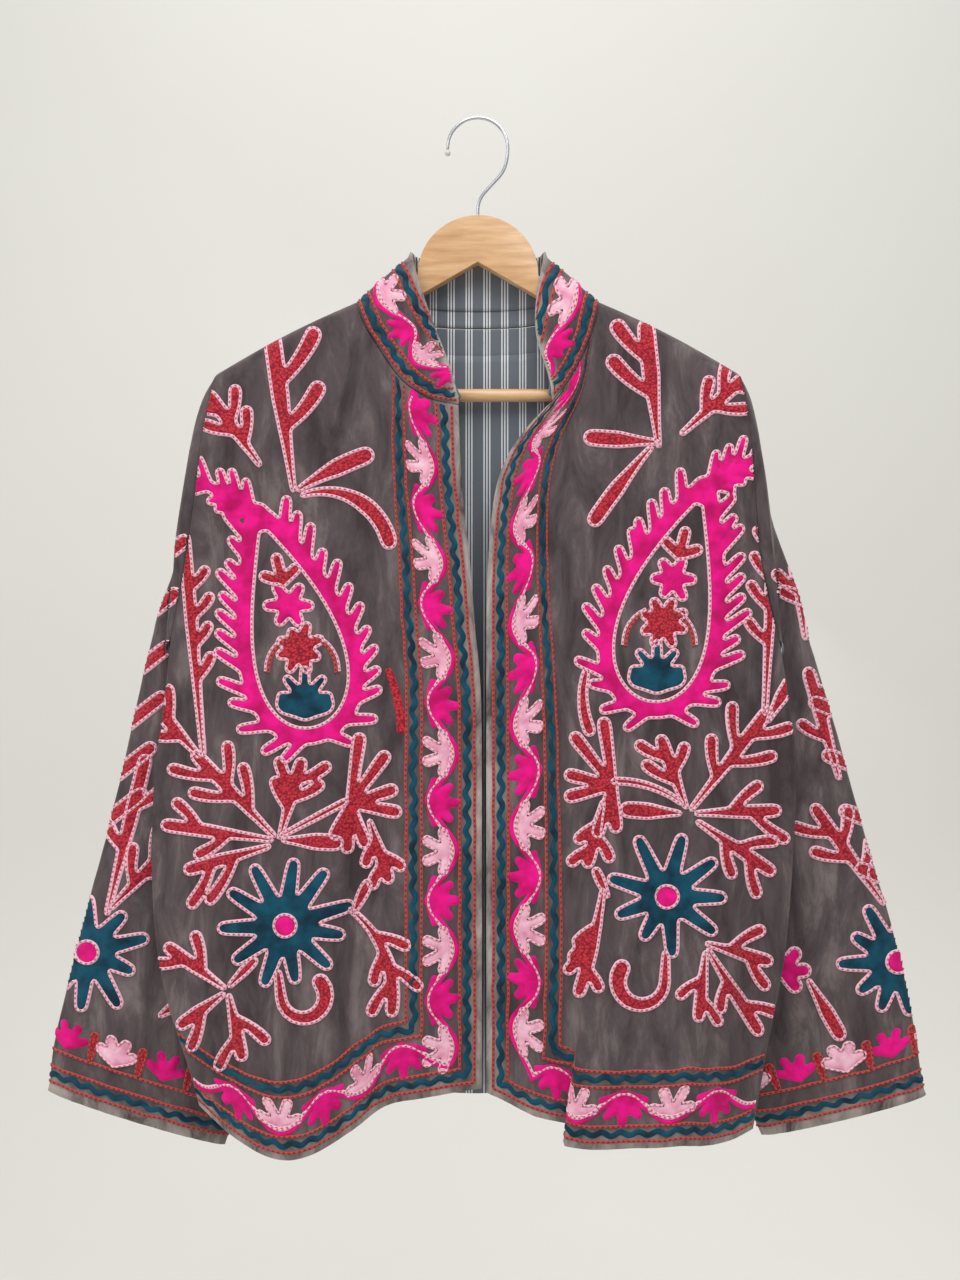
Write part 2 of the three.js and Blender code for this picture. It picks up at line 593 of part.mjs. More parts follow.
function sleeve( name ) {

	const grid = sleeveGrid( name );
	const middleY = ( z ) => ( edgeBack( z ) - edgeFront( z ) ) / 2;
	const directions = outward( grid, true ).map( ( row, i ) => row.map( ( n, j ) => {

		if ( i > 0 ) return n;
		const p = grid[ 0 ][ j ];
		if ( p.z > TIP_Z - 1 ) return new THREE.Vector3( 0, 0, 1 );
		if ( p.z < UNDERARM_Z + 1 ) return new THREE.Vector3( 0, 0, - 1 );
		return new THREE.Vector3( 0, Math.sign( p.y - middleY( p.z ) ), 0 );

	} ) );
	return wall( grid, shifted( grid, directions, - CLOTH ), true );

}

add( 'sleeve_left', sleeve( 'left' ), velvet() );
add( 'sleeve_right', sleeve( 'right' ), velvet() );

// ---- collar and its lining -------------------------------------------------------------

function collarGrid() {

	const aroundNeck = ( p ) => Math.abs( p.x ) < NECK_X + 1;
	const leftNeck = frontLeft[ 0 ].filter( aroundNeck );
	const rightNeck = frontRight[ 0 ].filter( aroundNeck );
	const backNeck = back[ 0 ].filter( ( p ) => Math.abs( p.x ) < NECK_X - 1 );
	const stations = [
		...leftNeck.map( ( p, i ) => ( { p, s: 0.5 * i / ( leftNeck.length - 1 ), half: 'left' } ) ),
		...backNeck.map( ( p ) => ( {
			p, s: 0.5 + Math.acos( Math.abs( p.x ) / NECK_X ) / Math.PI, half: p.x > 0 ? 'left' : 'right' } ) ),
		...rightNeck.map( ( p, i ) => ( { p, s: 0.5 - 0.5 * i / ( rightNeck.length - 1 ), half: 'right' } ) ),
	];
	const grid = [];
	for ( let i = 0; i <= COLLAR_ROWS; i ++ ) {

		const t = 1 - i / COLLAR_ROWS;
		grid.push( stations.map( ( { p, s, half } ) => {

			const sign = half === 'left' ? 1 : - 1;
			const top = new THREE.Vector3(
				sign * through( COLLAR_TOP[ half ], 's', 'x' )( s ),
				through( COLLAR_TOP[ half ], 's', 'y' )( s ),
				through( COLLAR_TOP[ half ], 's', 'z' )( s ) );
			const base = p.clone().add( new THREE.Vector3( - Math.sign( p.x ) * SEAM, 0, 2 * SEAM ) );
			if ( Math.abs( base.y ) < 1 ) base.y = 0;
			const away = new THREE.Vector3(
				COLLAR_AWAY.x * Math.sign( p.x ), COLLAR_AWAY.y * Math.sign( p.y ), COLLAR_AWAY.z ).normalize();
			const bulge = COLLAR_BULGE * Math.sin( Math.PI * t ) * smoothstep( s, 0, 0.25 );
			return base.lerp( top, t ).addScaledVector( away, bulge );

		} ) );

	}

	return grid;

}

const collar = collarGrid();
const collarOut = outward( collar ).map( ( row, i ) => row.map( ( n, j ) =>
	i === COLLAR_ROWS ? seamInward( collar[ i ][ j ] ).negate() : n ) );
add( 'collar_outer', wall( collar, shifted( collar, collarOut, - CLOTH ) ), velvet() );
const collarInside = collar.slice( 0, - 1 );
add( 'collar_lining', wall(
	shifted( collarInside, collarOut, - CLOTH - SEAM ),
	shifted( collarInside, collarOut, - CLOTH - SEAM - LINING ),
), stripedLining() );

// ---- hanger ------------------------------------------------------------------------------

const wasm = await Module();
wasm.setup();

// the head and arms, drawn in the plane of the hanger
function woodOutline() {

	const top = ( x ) => shoulderZ( x ) - WOOD_DROP;
	const under = ( x ) => WOOD_UNDER_Z - x * WOOD_UNDER_SLOPE;
	const endMiddle = ( top( WOOD_END_X ) + under( WOOD_END_X ) ) / 2;
	const outline = new THREE.Shape();
	outline.moveTo( 0, WOOD_UNDER_Z );
	outline.lineTo( WOOD_END_X, under( WOOD_END_X ) );
	outline.quadraticCurveTo( WOOD_END_X + WOOD_END_ROUND, endMiddle, WOOD_END_X, top( WOOD_END_X ) );
	outline.lineTo( NECK_X, top( NECK_X ) );
	outline.absarc( 0, HUMP_Z, HUMP_RADIUS, 0, Math.PI, false );
	outline.lineTo( - NECK_X, top( NECK_X ) );
	outline.lineTo( - WOOD_END_X, top( WOOD_END_X ) );
	outline.quadraticCurveTo( - WOOD_END_X - WOOD_END_ROUND, endMiddle, - WOOD_END_X, under( WOOD_END_X ) );
	return outline;

}

// a rod in the middle plane at a height, upright or lying across
function rod( radius, length, z, turn ) {

	const cylinder = new THREE.CylinderGeometry( radius, radius, length, 16 );
	cylinder.rotateX( turn.x );
	cylinder.rotateZ( turn.z );
	cylinder.translate( 0, 0, z );
	return cylinder;

}

function wood() {

	const board = new THREE.ExtrudeGeometry( woodOutline(), {
		depth: WOOD_THICK,
		bevelEnabled: false,
		curveSegments: 14,
	} );
	board.translate( 0, 0, - WOOD_THICK / 2 );
	board.rotateX( Math.PI / 2 );
	let body = solid( wasm, board );
	const upright = { x: Math.PI / 2, z: 0 };
	const across = { x: 0, z: Math.PI / 2 };
	const shank = rod( WIRE_RADIUS + SEAM, SHANK_DEPTH * 2, HUMP_Z + HUMP_RADIUS, upright );
	body = body.subtract( solid( wasm, shank ) );
	const socket = rod( TENON_RADIUS + SEAM, 2 * TENON_HALF + 2 * SEAM, BAR_Z, across );
	return fromSolid( body.subtract( solid( wasm, socket ) ) );

}

add( 'hanger_wood', wood(), beech() );

function trouserBar() {

	const profile = [
		[ 0, - TENON_HALF ], [ TENON_RADIUS, - TENON_HALF ], [ TENON_RADIUS, - BAR_HALF - TENON_SLOPE ],
		[ BAR_RADIUS, - BAR_HALF ], [ BAR_RADIUS, BAR_HALF ], [ TENON_RADIUS, BAR_HALF + TENON_SLOPE ],
		[ TENON_RADIUS, TENON_HALF ], [ 0, TENON_HALF ] ];
	const bar = new THREE.LatheGeometry( profile.map( ( [ r, h ] ) => new THREE.Vector2( r, h ) ), 16 );
	bar.rotateZ( Math.PI / 2 );
	bar.translate( 0, 0, BAR_Z );
	return bar;

}

add( 'trouser_bar', trouserBar(), beech() );

// the wire goes up out of the head, slants out to a corner and round over the crown
function hookPath() {

	const crown = WIRE_RADIUS - HOOK_RADIUS;
	const path = new THREE.CurvePath();
	const at = ( x, z ) => new THREE.Vector3( x, 0, z );
	const foot = at( 0, HUMP_Z + HUMP_RADIUS - SHANK_DEPTH + SEAM );
	const bend = at( HOOK_FOOT.x, HOOK_FOOT.z );
	const corner = at( HOOK_CORNER.x, HOOK_CORNER.z );
	const rise = at( HOOK_RADIUS, crown );
	const straightEnd = at( 0, HOOK_FOOT.z - HOOK_BEND.below );
	const slantStart = bend.clone().lerp( corner, HOOK_BEND.share );
	const slantEnd = bend.clone().lerp( corner, 1 - HOOK_BEND.share );
	path.add( new THREE.LineCurve3( foot, straightEnd ) );
	path.add( new THREE.QuadraticBezierCurve3( straightEnd, bend, slantStart ) );
	path.add( new THREE.LineCurve3( slantStart, slantEnd ) );
	path.add( new THREE.QuadraticBezierCurve3( slantEnd, corner, rise ) );
	const arc = [];
	for ( let i = 0; i <= HOOK_STEPS; i ++ ) {

		const turn = HOOK_SWEEP * i / HOOK_STEPS;
		arc.push( at( HOOK_RADIUS * Math.cos( turn ), crown + HOOK_RADIUS * Math.sin( turn ) ) );

	}

	path.add( new THREE.CatmullRomCurve3( arc ) );
	return { path, end: arc.at( - 1 ), before: arc.at( - 2 ) };

}

const hook = hookPath();
const wireSection = new THREE.Shape().absarc( 0, 0, WIRE_RADIUS, 0, Math.PI * 2, false );
const wire = new THREE.ExtrudeGeometry( wireSection, { steps: 48, curveSegments: 4, extrudePath: hook.path } );
add( 'hook_wire', wire, polishedSteel() );

const tip = new THREE.SphereGeometry( TIP_RADIUS, 12, 8 );
const beyond = hook.end.clone().sub( hook.before ).normalize().multiplyScalar( TIP_RADIUS + SEAM );
tip.translate( hook.end.x + beyond.x, 0, hook.end.z + beyond.z );
add( 'hook_tip', tip, clearRubber() );

export default group;
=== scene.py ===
"""A velvet suzani jacket on a wooden hanger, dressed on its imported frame, in metres, +Z up."""

import math

import bmesh
import bpy
import numpy as np
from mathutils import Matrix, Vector, noise
from mathutils.bvhtree import BVHTree
from mathutils.kdtree import KDTree


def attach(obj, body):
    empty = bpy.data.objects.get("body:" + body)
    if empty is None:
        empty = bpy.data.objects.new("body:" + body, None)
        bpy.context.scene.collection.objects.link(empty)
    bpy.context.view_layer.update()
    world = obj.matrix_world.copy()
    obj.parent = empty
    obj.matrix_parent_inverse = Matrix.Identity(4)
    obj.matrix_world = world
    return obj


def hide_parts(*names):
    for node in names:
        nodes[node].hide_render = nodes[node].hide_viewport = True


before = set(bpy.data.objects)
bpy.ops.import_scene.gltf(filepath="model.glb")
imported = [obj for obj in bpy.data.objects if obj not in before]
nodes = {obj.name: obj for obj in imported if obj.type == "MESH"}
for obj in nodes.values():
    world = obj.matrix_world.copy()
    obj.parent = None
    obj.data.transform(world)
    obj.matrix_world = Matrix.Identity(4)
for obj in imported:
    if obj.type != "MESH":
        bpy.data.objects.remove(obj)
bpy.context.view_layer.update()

# ---- camera -----------------------------------------------------------------------------
# Square on to the front and level with the chest, 1.1 m before the hanger's plane.

EYE = Vector((0.0017, -1.1, -0.432))

camera = bpy.data.cameras.new("camera")
camera.lens = 37.27
camera_object = bpy.data.objects.new("camera", camera)
camera_object.location = EYE
camera_object.rotation_euler = (math.pi / 2, 0, 0)
bpy.context.scene.collection.objects.link(camera_object)
bpy.context.scene.camera = camera_object
bpy.context.scene.view_settings.view_transform = "Standard"

# ---- room -------------------------------------------------------------------------------
# A pale painted sweep: a floor that curves up into a wall well behind the jacket.
# The light is a wide overhead panel, a softer one from the left and a pale sky.

FLOOR_Z = -1.75
WALL_Y = 2.3
SWEEP_RADIUS = 0.8
SWEEP_HALF_WIDTH = 4.0
FLOOR_FRONT_Y = -3.0
WALL_TOP_Z = 2.4
PLASTER, PLASTER_SHADE = "#e4e2dc", "#dfddd6"
SKY = "#f2f3f5"
MOTTLE_PER_METRE = 1.5          # broad cloudy patches, some 700 mm across


def linear(colour):
    """The linear values of an sRGB hex colour."""
    parts = [int(colour[i : i + 2], 16) / 255 for i in (1, 3, 5)]
    return (*(p / 12.92 if p <= 0.04045 else ((p + 0.055) / 1.055) ** 2.4 for p in parts), 1)


def put(tree, kind, inputs=None, **settings):
    """Adds a node, sets it up, and fills or links its inputs."""
    node = tree.nodes.new(kind)
    for key, value in settings.items():
        setattr(node, key, value)
    for key, value in (inputs or {}).items():
        if isinstance(value, bpy.types.NodeSocket):
            tree.links.new(value, node.inputs[key])
        else:
            node.inputs[key].default_value = value
    return node


def new_material(name):
    """An empty node tree with its output, and the material that holds it."""
    material = bpy.data.materials.new(name)
    material.use_nodes = True
    material.node_tree.nodes.clear()
    return material, material.node_tree


def surface(tree, shader):
    """Ends a material with its shader."""
    put(tree, "ShaderNodeOutputMaterial", {"Surface": shader.outputs[0]})


def finish_object(bm, name, *materials):
    """Turns a finished bmesh into a smooth object in the scene."""
    mesh = bpy.data.meshes.new(name)
    bm.to_mesh(mesh)
    bm.free()
    for material in materials:
        mesh.materials.append(material)
    mesh.shade_smooth()
    piece = bpy.data.objects.new(name, mesh)
    bpy.context.scene.collection.objects.link(piece)
    return piece


def sweep_point(run):
    """The sweep's profile: along the floor, round the corner and up the wall."""
    flat = WALL_Y - SWEEP_RADIUS - FLOOR_FRONT_Y
    arc = SWEEP_RADIUS * math.pi / 2
    rise = WALL_TOP_Z - FLOOR_Z - SWEEP_RADIUS
    along = run * (flat + arc + rise)
    if along < flat:
        return FLOOR_FRONT_Y + along, FLOOR_Z
    if along < flat + arc:
        turn = (along - flat) / SWEEP_RADIUS
        return (
            WALL_Y - SWEEP_RADIUS + SWEEP_RADIUS * math.sin(turn),
            FLOOR_Z + SWEEP_RADIUS * (1 - math.cos(turn)),
        )
    return WALL_Y, FLOOR_Z + SWEEP_RADIUS + along - flat - arc


bm = bmesh.new()
bmesh.ops.create_grid(bm, x_segments=1, y_segments=60, size=0.5)
for v in bm.verts:
    y, z = sweep_point(v.co.y + 0.5)
    v.co = (v.co.x * 2 * SWEEP_HALF_WIDTH, y, z)
plaster, tree = new_material("painted_plaster")
place = put(tree, "ShaderNodeTexCoord").outputs["Object"]
mottle = put(tree, "ShaderNodeTexNoise", {"Vector": place, "Scale": MOTTLE_PER_METRE, "Detail": 4})
tone = put(
    tree,
    "ShaderNodeMix",
    {"Factor": mottle.outputs["Fac"], "A": linear(PLASTER_SHADE), "B": linear(PLASTER)},
    data_type="RGBA",
)
surface(
    tree,
    put(tree, "ShaderNodeBsdfPrincipled", {"Base Color": tone.outputs[2], "Roughness": 0.9}),
)
sweep = finish_object(bm, "sweep", plaster)


def area_light(name, power, size, place, aim):
    """A soft square light at a place, turned to face an aim."""
    light = bpy.data.lights.new(name, "AREA")
    light.energy = power
    light.size = size
    lamp = bpy.data.objects.new(name, light)
    lamp.location = place
    lamp.rotation_euler = (Vector(aim) - Vector(place)).to_track_quat("-Z", "Y").to_euler()
    bpy.context.scene.collection.objects.link(lamp)


area_light("overhead_panel", 42, 1.8, (0.3, -1.5, 1.6), (0, 0, -0.45))
area_light("window", 26, 2.2, (-2.2, -1.4, 0.4), (0, 0, -0.45))
area_light("wall_wash", 24, 2.5, (0, 0.9, 2.2), (0, 2.2, -0.6))
area_light("back_fill", 16, 2.0, (0.8, 1.7, 0.6), (0, 0, -0.5))

world = bpy.data.worlds.new("pale_sky")
world.use_nodes = True
world.node_tree.nodes["Background"].inputs["Color"].default_value = linear(SKY)
world.node_tree.nodes["Background"].inputs["Strength"].default_value = 0.55
bpy.context.scene.world = world

# ---- hanger -----------------------------------------------------------------------------
# A suit hanger cut from one 12 mm beech board, its edges rounded over and clear lacquered,
# with a turned trouser bar let into its arms.

MM = 0.001
BOARD_ROUND = 2.6 * MM
BEECH_LIGHT = "#e0b98c"
BEECH_MID = "#cfa272"
BEECH_DARK = "#b98a5a"
GRAIN_PER_METRE = 160           # bands 6 mm apart, drawn out along the board
PORES_PER_METRE = 900           # pores 1 mm apart


def merged(node):
    """A copy of a CAD node's mesh with its loose triangles joined up."""
    copy = bmesh.new()
    copy.from_mesh(nodes[node].data)
    bmesh.ops.remove_doubles(copy, verts=copy.verts, dist=1e-5)
    return copy


def bevelled(piece, width, segments, angle):
    """Rounds over the sharp edges of a hard piece."""
    bevel = piece.modifiers.new("rounding", "BEVEL")
    bevel.width = width
    bevel.segments = segments
    bevel.limit_method = "ANGLE"
    bevel.angle_limit = math.radians(angle)
    bevel.harden_normals = True


# lacquered beech: fine straight grain with short dark pores, under a thin clear coat
beech, tree = new_material("lacquered_beech")
place = put(tree, "ShaderNodeTexCoord").outputs["Object"]
stretched = put(tree, "ShaderNodeMapping", {"Vector": place, "Scale": (0.12, 1, 1)})
grain = put(
    tree,
    "ShaderNodeTexNoise",
    {"Vector": stretched.outputs[0], "Scale": GRAIN_PER_METRE, "Detail": 6, "Roughness": 0.6},
)
pores = put(
    tree,
    "ShaderNodeTexNoise",
    {"Vector": stretched.outputs[0], "Scale": PORES_PER_METRE, "Detail": 2},
)
tones = put(tree, "ShaderNodeValToRGB", {"Fac": grain.outputs["Fac"]})
tones.color_ramp.elements[0].position = 0.3
tones.color_ramp.elements[0].color = linear(BEECH_DARK)
tones.color_ramp.elements[1].position = 0.7
tones.color_ramp.elements[1].color = linear(BEECH_LIGHT)
tones.color_ramp.elements.new(0.5).color = linear(BEECH_MID)
relief = put(
    tree, "ShaderNodeBump", {"Height": pores.outputs["Fac"], "Strength": 0.1, "Distance": 0.0002}
)
surface(
    tree,
    put(
        tree,
        "ShaderNodeBsdfPrincipled",
        {
            "Base Color": tones.outputs["Color"],
            "Roughness": 0.42,
            "Coat Weight": 0.35,
            "Coat Roughness": 0.18,
            "Normal": relief.outputs["Normal"],
        },
    ),
)

bm = merged("hanger_wood")
bmesh.ops.dissolve_limit(bm, angle_limit=math.radians(1), verts=bm.verts, edges=bm.edges)
board = finish_object(bm, "hanger_board", beech)
bevelled(board, BOARD_ROUND, 3, 50)
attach(board, "root")
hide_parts("hanger_wood")

bm = merged("trouser_bar")
bar = finish_object(bm, "turned_bar", beech)
bevelled(bar, 0.8 * MM, 2, 40)
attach(bar, "root")
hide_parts("trouser_bar")

# ---- hook -------------------------------------------------------------------------------
# A bent 3.3 mm wire, bright plated, with a small moulded cap on its free end.

STEEL = "#c6c8cb"
CAP, CAP_HAZE = "#d9d6cf", "#c3c0b8"
MARKS_PER_METRE = 500           # drawing marks 2 mm apart
HAZE_PER_METRE = 400            # cloudiness 2.5 mm across

# bright zinc-nickel plating: mirror-like, with faint drawing marks along the wire
plating, tree = new_material("plated_wire")
place = put(tree, "ShaderNodeTexCoord").outputs["Object"]
marks = put(tree, "ShaderNodeTexNoise", {"Vector": place, "Scale": MARKS_PER_METRE, "Detail": 3})
gloss = put(
    tree, "ShaderNodeMapRange", {"Value": marks.outputs["Fac"], "To Min": 0.16, "To Max": 0.34}
)
surface(
    tree,
    put(
        tree,
        "ShaderNodeBsdfPrincipled",
        {"Base Color": linear(STEEL), "Metallic": 1.0, "Roughness": gloss.outputs[0]},
    ),
)

bm = merged("hook_wire")
bmesh.ops.join_triangles(
    bm, faces=bm.faces, angle_face_threshold=math.pi, angle_shape_threshold=math.pi
)
wire = finish_object(bm, "hook_bend", plating)
rounded = wire.modifiers.new("rounding", "SUBSURF")
rounded.levels = rounded.render_levels = 1
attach(wire, "root")
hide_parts("hook_wire")

# soft clear moulding, slightly hazy
cap_rubber, tree = new_material("moulded_cap")
place = put(tree, "ShaderNodeTexCoord").outputs["Object"]
haze = put(tree, "ShaderNodeTexNoise", {"Vector": place, "Scale": HAZE_PER_METRE})
tone = put(
    tree,
    "ShaderNodeMix",
    {"Factor": haze.outputs["Fac"], "A": linear(CAP), "B": linear(CAP_HAZE)},
    data_type="RGBA",
)
surface(
    tree,
    put(tree, "ShaderNodeBsdfPrincipled", {"Base Color": tone.outputs[2], "Roughness": 0.45}),
)
nodes["hook_tip"].data.materials.clear()
nodes["hook_tip"].data.materials.append(cap_rubber)

# ---- velvet and lining ------------------------------------------------------------------
# The jacket is cut from cotton velvet, 2 mm thick with its backing, and lined in a grey
# cotton with thin white stripes. The velvet's nap is crushed in soft upright patches.

VELVET = 2 * MM
VELVET_DARK = "#403839"
VELVET_MID = "#5a5051"
VELVET_WORN = "#8a7f7c"
VELVET_EDGE_SHEEN = "#b8aea7"       # painted highlight: the pale sheen that lights the velvet's edges
VELVET_SHEEN = "#b9a6a4"
CRUSH_PER_METRE = 48            # crushed patches 21 mm wide and three times as tall
BROAD_PER_METRE = 12            # and broad ones, 80 mm wide
PILE_PER_METRE = 1400           # tufts 0.7 mm apart, coarser than real pile so that they show
LINING_GREY = "#646a72"
LINING_WHITE = "#e2e4e6"
STRIPE_GROUP = 15 * MM          # from one group of three white lines to the next
STRIPE_STEP = 2.4 * MM          # between the lines of a group
STRIPE_HALF = 0.5 * MM
WEAVE_PER_METRE = 1200          # threads 0.8 mm apart, coarser than real ones so that they show
SEAM_GAP = 0.3 * MM
SEAM_HOLD = 14                  # how far in from a seam, in millimetres, the cloth lies still
SHARP_TURN = math.radians(146)  # an edge that bends to less than this keeps its point
PUCKER = 0.7                    # how far, in millimetres, an edge of the velvet ripples
JUST_INSIDE = 0.05 * MM

# cotton velvet: nearly black down its pile and pale where the pile leans, with a soft sheen
velvet, tree = new_material("crushed_cotton_velvet")
place = put(tree, "ShaderNodeTexCoord").outputs["Object"]
upright = put(tree, "ShaderNodeMapping", {"Vector": place, "Scale": (1, 1, 0.32)})
crush = put(
    tree,
    "ShaderNodeTexNoise",
    {
        "Vector": upright.outputs[0],
        "Scale": CRUSH_PER_METRE,
        "Detail": 8,
        "Roughness": 0.68,
        "Distortion": 0.5,
    },
)
broad = put(
    tree,
    "ShaderNodeTexNoise",
    {"Vector": upright.outputs[0], "Scale": BROAD_PER_METRE, "Detail": 3},
)
worn = put(
    tree, "ShaderNodeMix", {"Factor": 0.28, "A": crush.outputs["Fac"], "B": broad.outputs["Fac"]}
)
nap = put(tree, "ShaderNodeValToRGB", {"Fac": worn.outputs[0]})
nap.color_ramp.elements[0].position = 0.38
nap.color_ramp.elements[0].color = linear(VELVET_DARK)
nap.color_ramp.elements[1].position = 0.74
nap.color_ramp.elements[1].color = linear(VELVET_WORN)
nap.color_ramp.elements.new(0.53).color = linear(VELVET_MID)
# painted highlight: a pale sheen painted along the velvet's edges, in crushed patches
edge_sheen_weight = put(tree, "ShaderNodeAttribute", attribute_name="edge_sheen")
patchy = put(
    tree, "ShaderNodeMapRange", {"Value": crush.outputs["Fac"], "From Min": 0.32, "From Max": 0.62}
)
edge_highlight = put(
    tree, "ShaderNodeMath", {0: edge_sheen_weight.outputs["Fac"], 1: patchy.outputs[0]}, operation="MULTIPLY"
)
pile_colour = put(
    tree,
    "ShaderNodeMix",
    {"Factor": edge_highlight.outputs[0], "A": nap.outputs["Color"], "B": linear(VELVET_EDGE_SHEEN)},
    data_type="RGBA",
)
pile = put(tree, "ShaderNodeTexNoise", {"Vector": place, "Scale": PILE_PER_METRE, "Detail": 2})
rough_pile = put(
    tree, "ShaderNodeBump", {"Height": pile.outputs["Fac"], "Strength": 0.5, "Distance": 0.0005}
)
crushed = put(
    tree,
    "ShaderNodeBump",
    {
        "Height": crush.outputs["Fac"],
        "Strength": 0.35,
        "Distance": 0.004,
        "Normal": rough_pile.outputs["Normal"],
    },
)
surface(
    tree,
    put(
        tree,
        "ShaderNodeBsdfPrincipled",
        {
            "Base Color": pile_colour.outputs[2],
            "Roughness": 0.95,
            "Specular IOR Level": 0.15,
            "Sheen Weight": 0.5,
            "Sheen Roughness": 0.35,
            "Sheen Tint": linear(VELVET_SHEEN),
            "Normal": crushed.outputs["Normal"],
        },
    ),
)

# plain-woven cotton: three thin white lines together, again and again, over blue-grey
striped, tree = new_material("striped_cotton_lining")
place = put(tree, "ShaderNodeTexCoord").outputs["Object"]
across = put(tree, "ShaderNodeSeparateXYZ", {"Vector": place}).outputs["X"]
group = put(tree, "ShaderNodeMath", {0: across, 1: STRIPE_GROUP}, operation="FLOORED_MODULO")
lines = None
for step in (-1, 0, 1):
    middle = STRIPE_GROUP / 2 + step * STRIPE_STEP
    line = put(
        tree,
        "ShaderNodeMath",
        {0: group.outputs[0], 1: middle, 2: STRIPE_HALF},
        operation="COMPARE",
    )
    lines = line if lines is None else put(
        tree, "ShaderNodeMath", {0: lines.outputs[0], 1: line.outputs[0]}, operation="MAXIMUM"
    )
woven = put(tree, "ShaderNodeTexNoise", {"Vector": place, "Scale": WEAVE_PER_METRE, "Detail": 2})
soft_lines = put(
    tree, "ShaderNodeMath", {0: lines.outputs[0], 1: woven.outputs["Fac"]}, operation="MULTIPLY"
)
lined = put(
    tree,
    "ShaderNodeMix",
    {"Factor": lines.outputs[0], "A": linear(LINING_GREY), "B": linear(LINING_WHITE)},
    data_type="RGBA",
)
weave = put(
    tree, "ShaderNodeBump", {"Height": soft_lines.outputs[0], "Strength": 0.3, "Distance": 0.0003}
)
surface(
    tree,
    put(
        tree,
        "ShaderNodeBsdfPrincipled",
        {
            "Base Color": lined.outputs[2],
            "Roughness": 0.85,
            "Sheen Weight": 0.1,
            "Normal": weave.outputs["Normal"],
        },
    ),
)


def outer_face(node, seed, thick):
    """The sheet of quads on one side of a CAD wall: the side that reaches furthest along seed."""
    sheet = merged(node)
    rim = [
        face
        for face in sheet.faces
        if any(abs(edge.calc_length() - thick) < 0.01 * MM for edge in face.edges)
    ]
    bmesh.ops.delete(sheet, geom=rim, context="FACES")
    seed = Vector(seed)
    start = max(sheet.faces, key=lambda face: face.calc_center_median().dot(seed))
    kept = {start}
    ahead = [start]
    while ahead:
        face = ahead.pop()
        for edge in face.edges:
            for other in edge.link_faces:
                if other not in kept:
                    kept.add(other)
                    ahead.append(other)
    bmesh.ops.delete(
        sheet, geom=[face for face in sheet.faces if face not in kept], context="FACES"
    )
    unsplit(sheet)
    return sheet


def unsplit(sheet):
    """Joins the triangles of a sheet back into its grid of quads, from one sure diagonal on."""
    ears = [v for v in sheet.verts if len(v.link_edges) == 2]
    if ears:
        face = ears[0].link_faces[0]
        odd = ears[0]
    else:
        widest = math.radians(91)
        face = max(
            sheet.faces,
            key=lambda f: max(a for a in (loop.calc_angle() for loop in f.loops) if a < widest),
        )
        odd = max(face.loops, key=lambda loop: loop.calc_angle()).vert
    diagonals = set()
    seen = {face}
    ahead = [(face, odd)]
    while ahead:
        face, odd = ahead.pop()
        diagonal = next(edge for edge in face.edges if odd not in edge.verts)
        diagonals.add(diagonal)
        for edge in face.edges:
            for other in edge.link_faces:
                if other in seen:
                    continue
                seen.add(other)
                if edge is diagonal:
                    far = next(v for v in other.verts if v not in edge.verts)
                else:
                    start = next(e for e in other.edges if odd in e.verts and e is not edge)
                    far = next(v for v in other.verts if v not in start.verts)
                ahead.append((other, far))
    bmesh.ops.dissolve_edges(sheet, edges=[e for e in diagonals if e.is_manifold])


def refined(node, seed, thick=VELVET):
    """One side of a CAD wall after smooth subdivision, its edges kept and their points pinned."""
    sheet = outer_face(node, seed, thick)
    pinned = sheet.verts.layers.float.new("crease_vert")
    for v in sheet.verts:
        ends = [edge.other_vert(v).co - v.co for edge in v.link_edges if edge.is_boundary]
        if len(ends) == 2 and ends[0].angle(ends[1]) < SHARP_TURN:
            v[pinned] = 1.0
    piece = finish_object(sheet, f"{node}_sheet")
    smooth = piece.modifiers.new("smooth", "SUBSURF")
    smooth.levels = smooth.render_levels = 2
    smooth.boundary_smooth = "PRESERVE_CORNERS"
    view = bpy.context.evaluated_depsgraph_get()
    result = bmesh.new()
    result.from_mesh(piece.evaluated_get(view).to_mesh())
    result.verts.layers.float.new("edge_sheen")
    bpy.data.objects.remove(piece)
    return result


def nearest(places):
    """A search tree over some places."""
    tree = KDTree(len(places))
    for k, place in enumerate(places):
        tree.insert(place, k)
    tree.balance()
    return tree


def fading(away, reach):
    """A share that falls smoothly from one, at no distance, to nothing."""
    return math.exp(-((away / reach) ** 2))


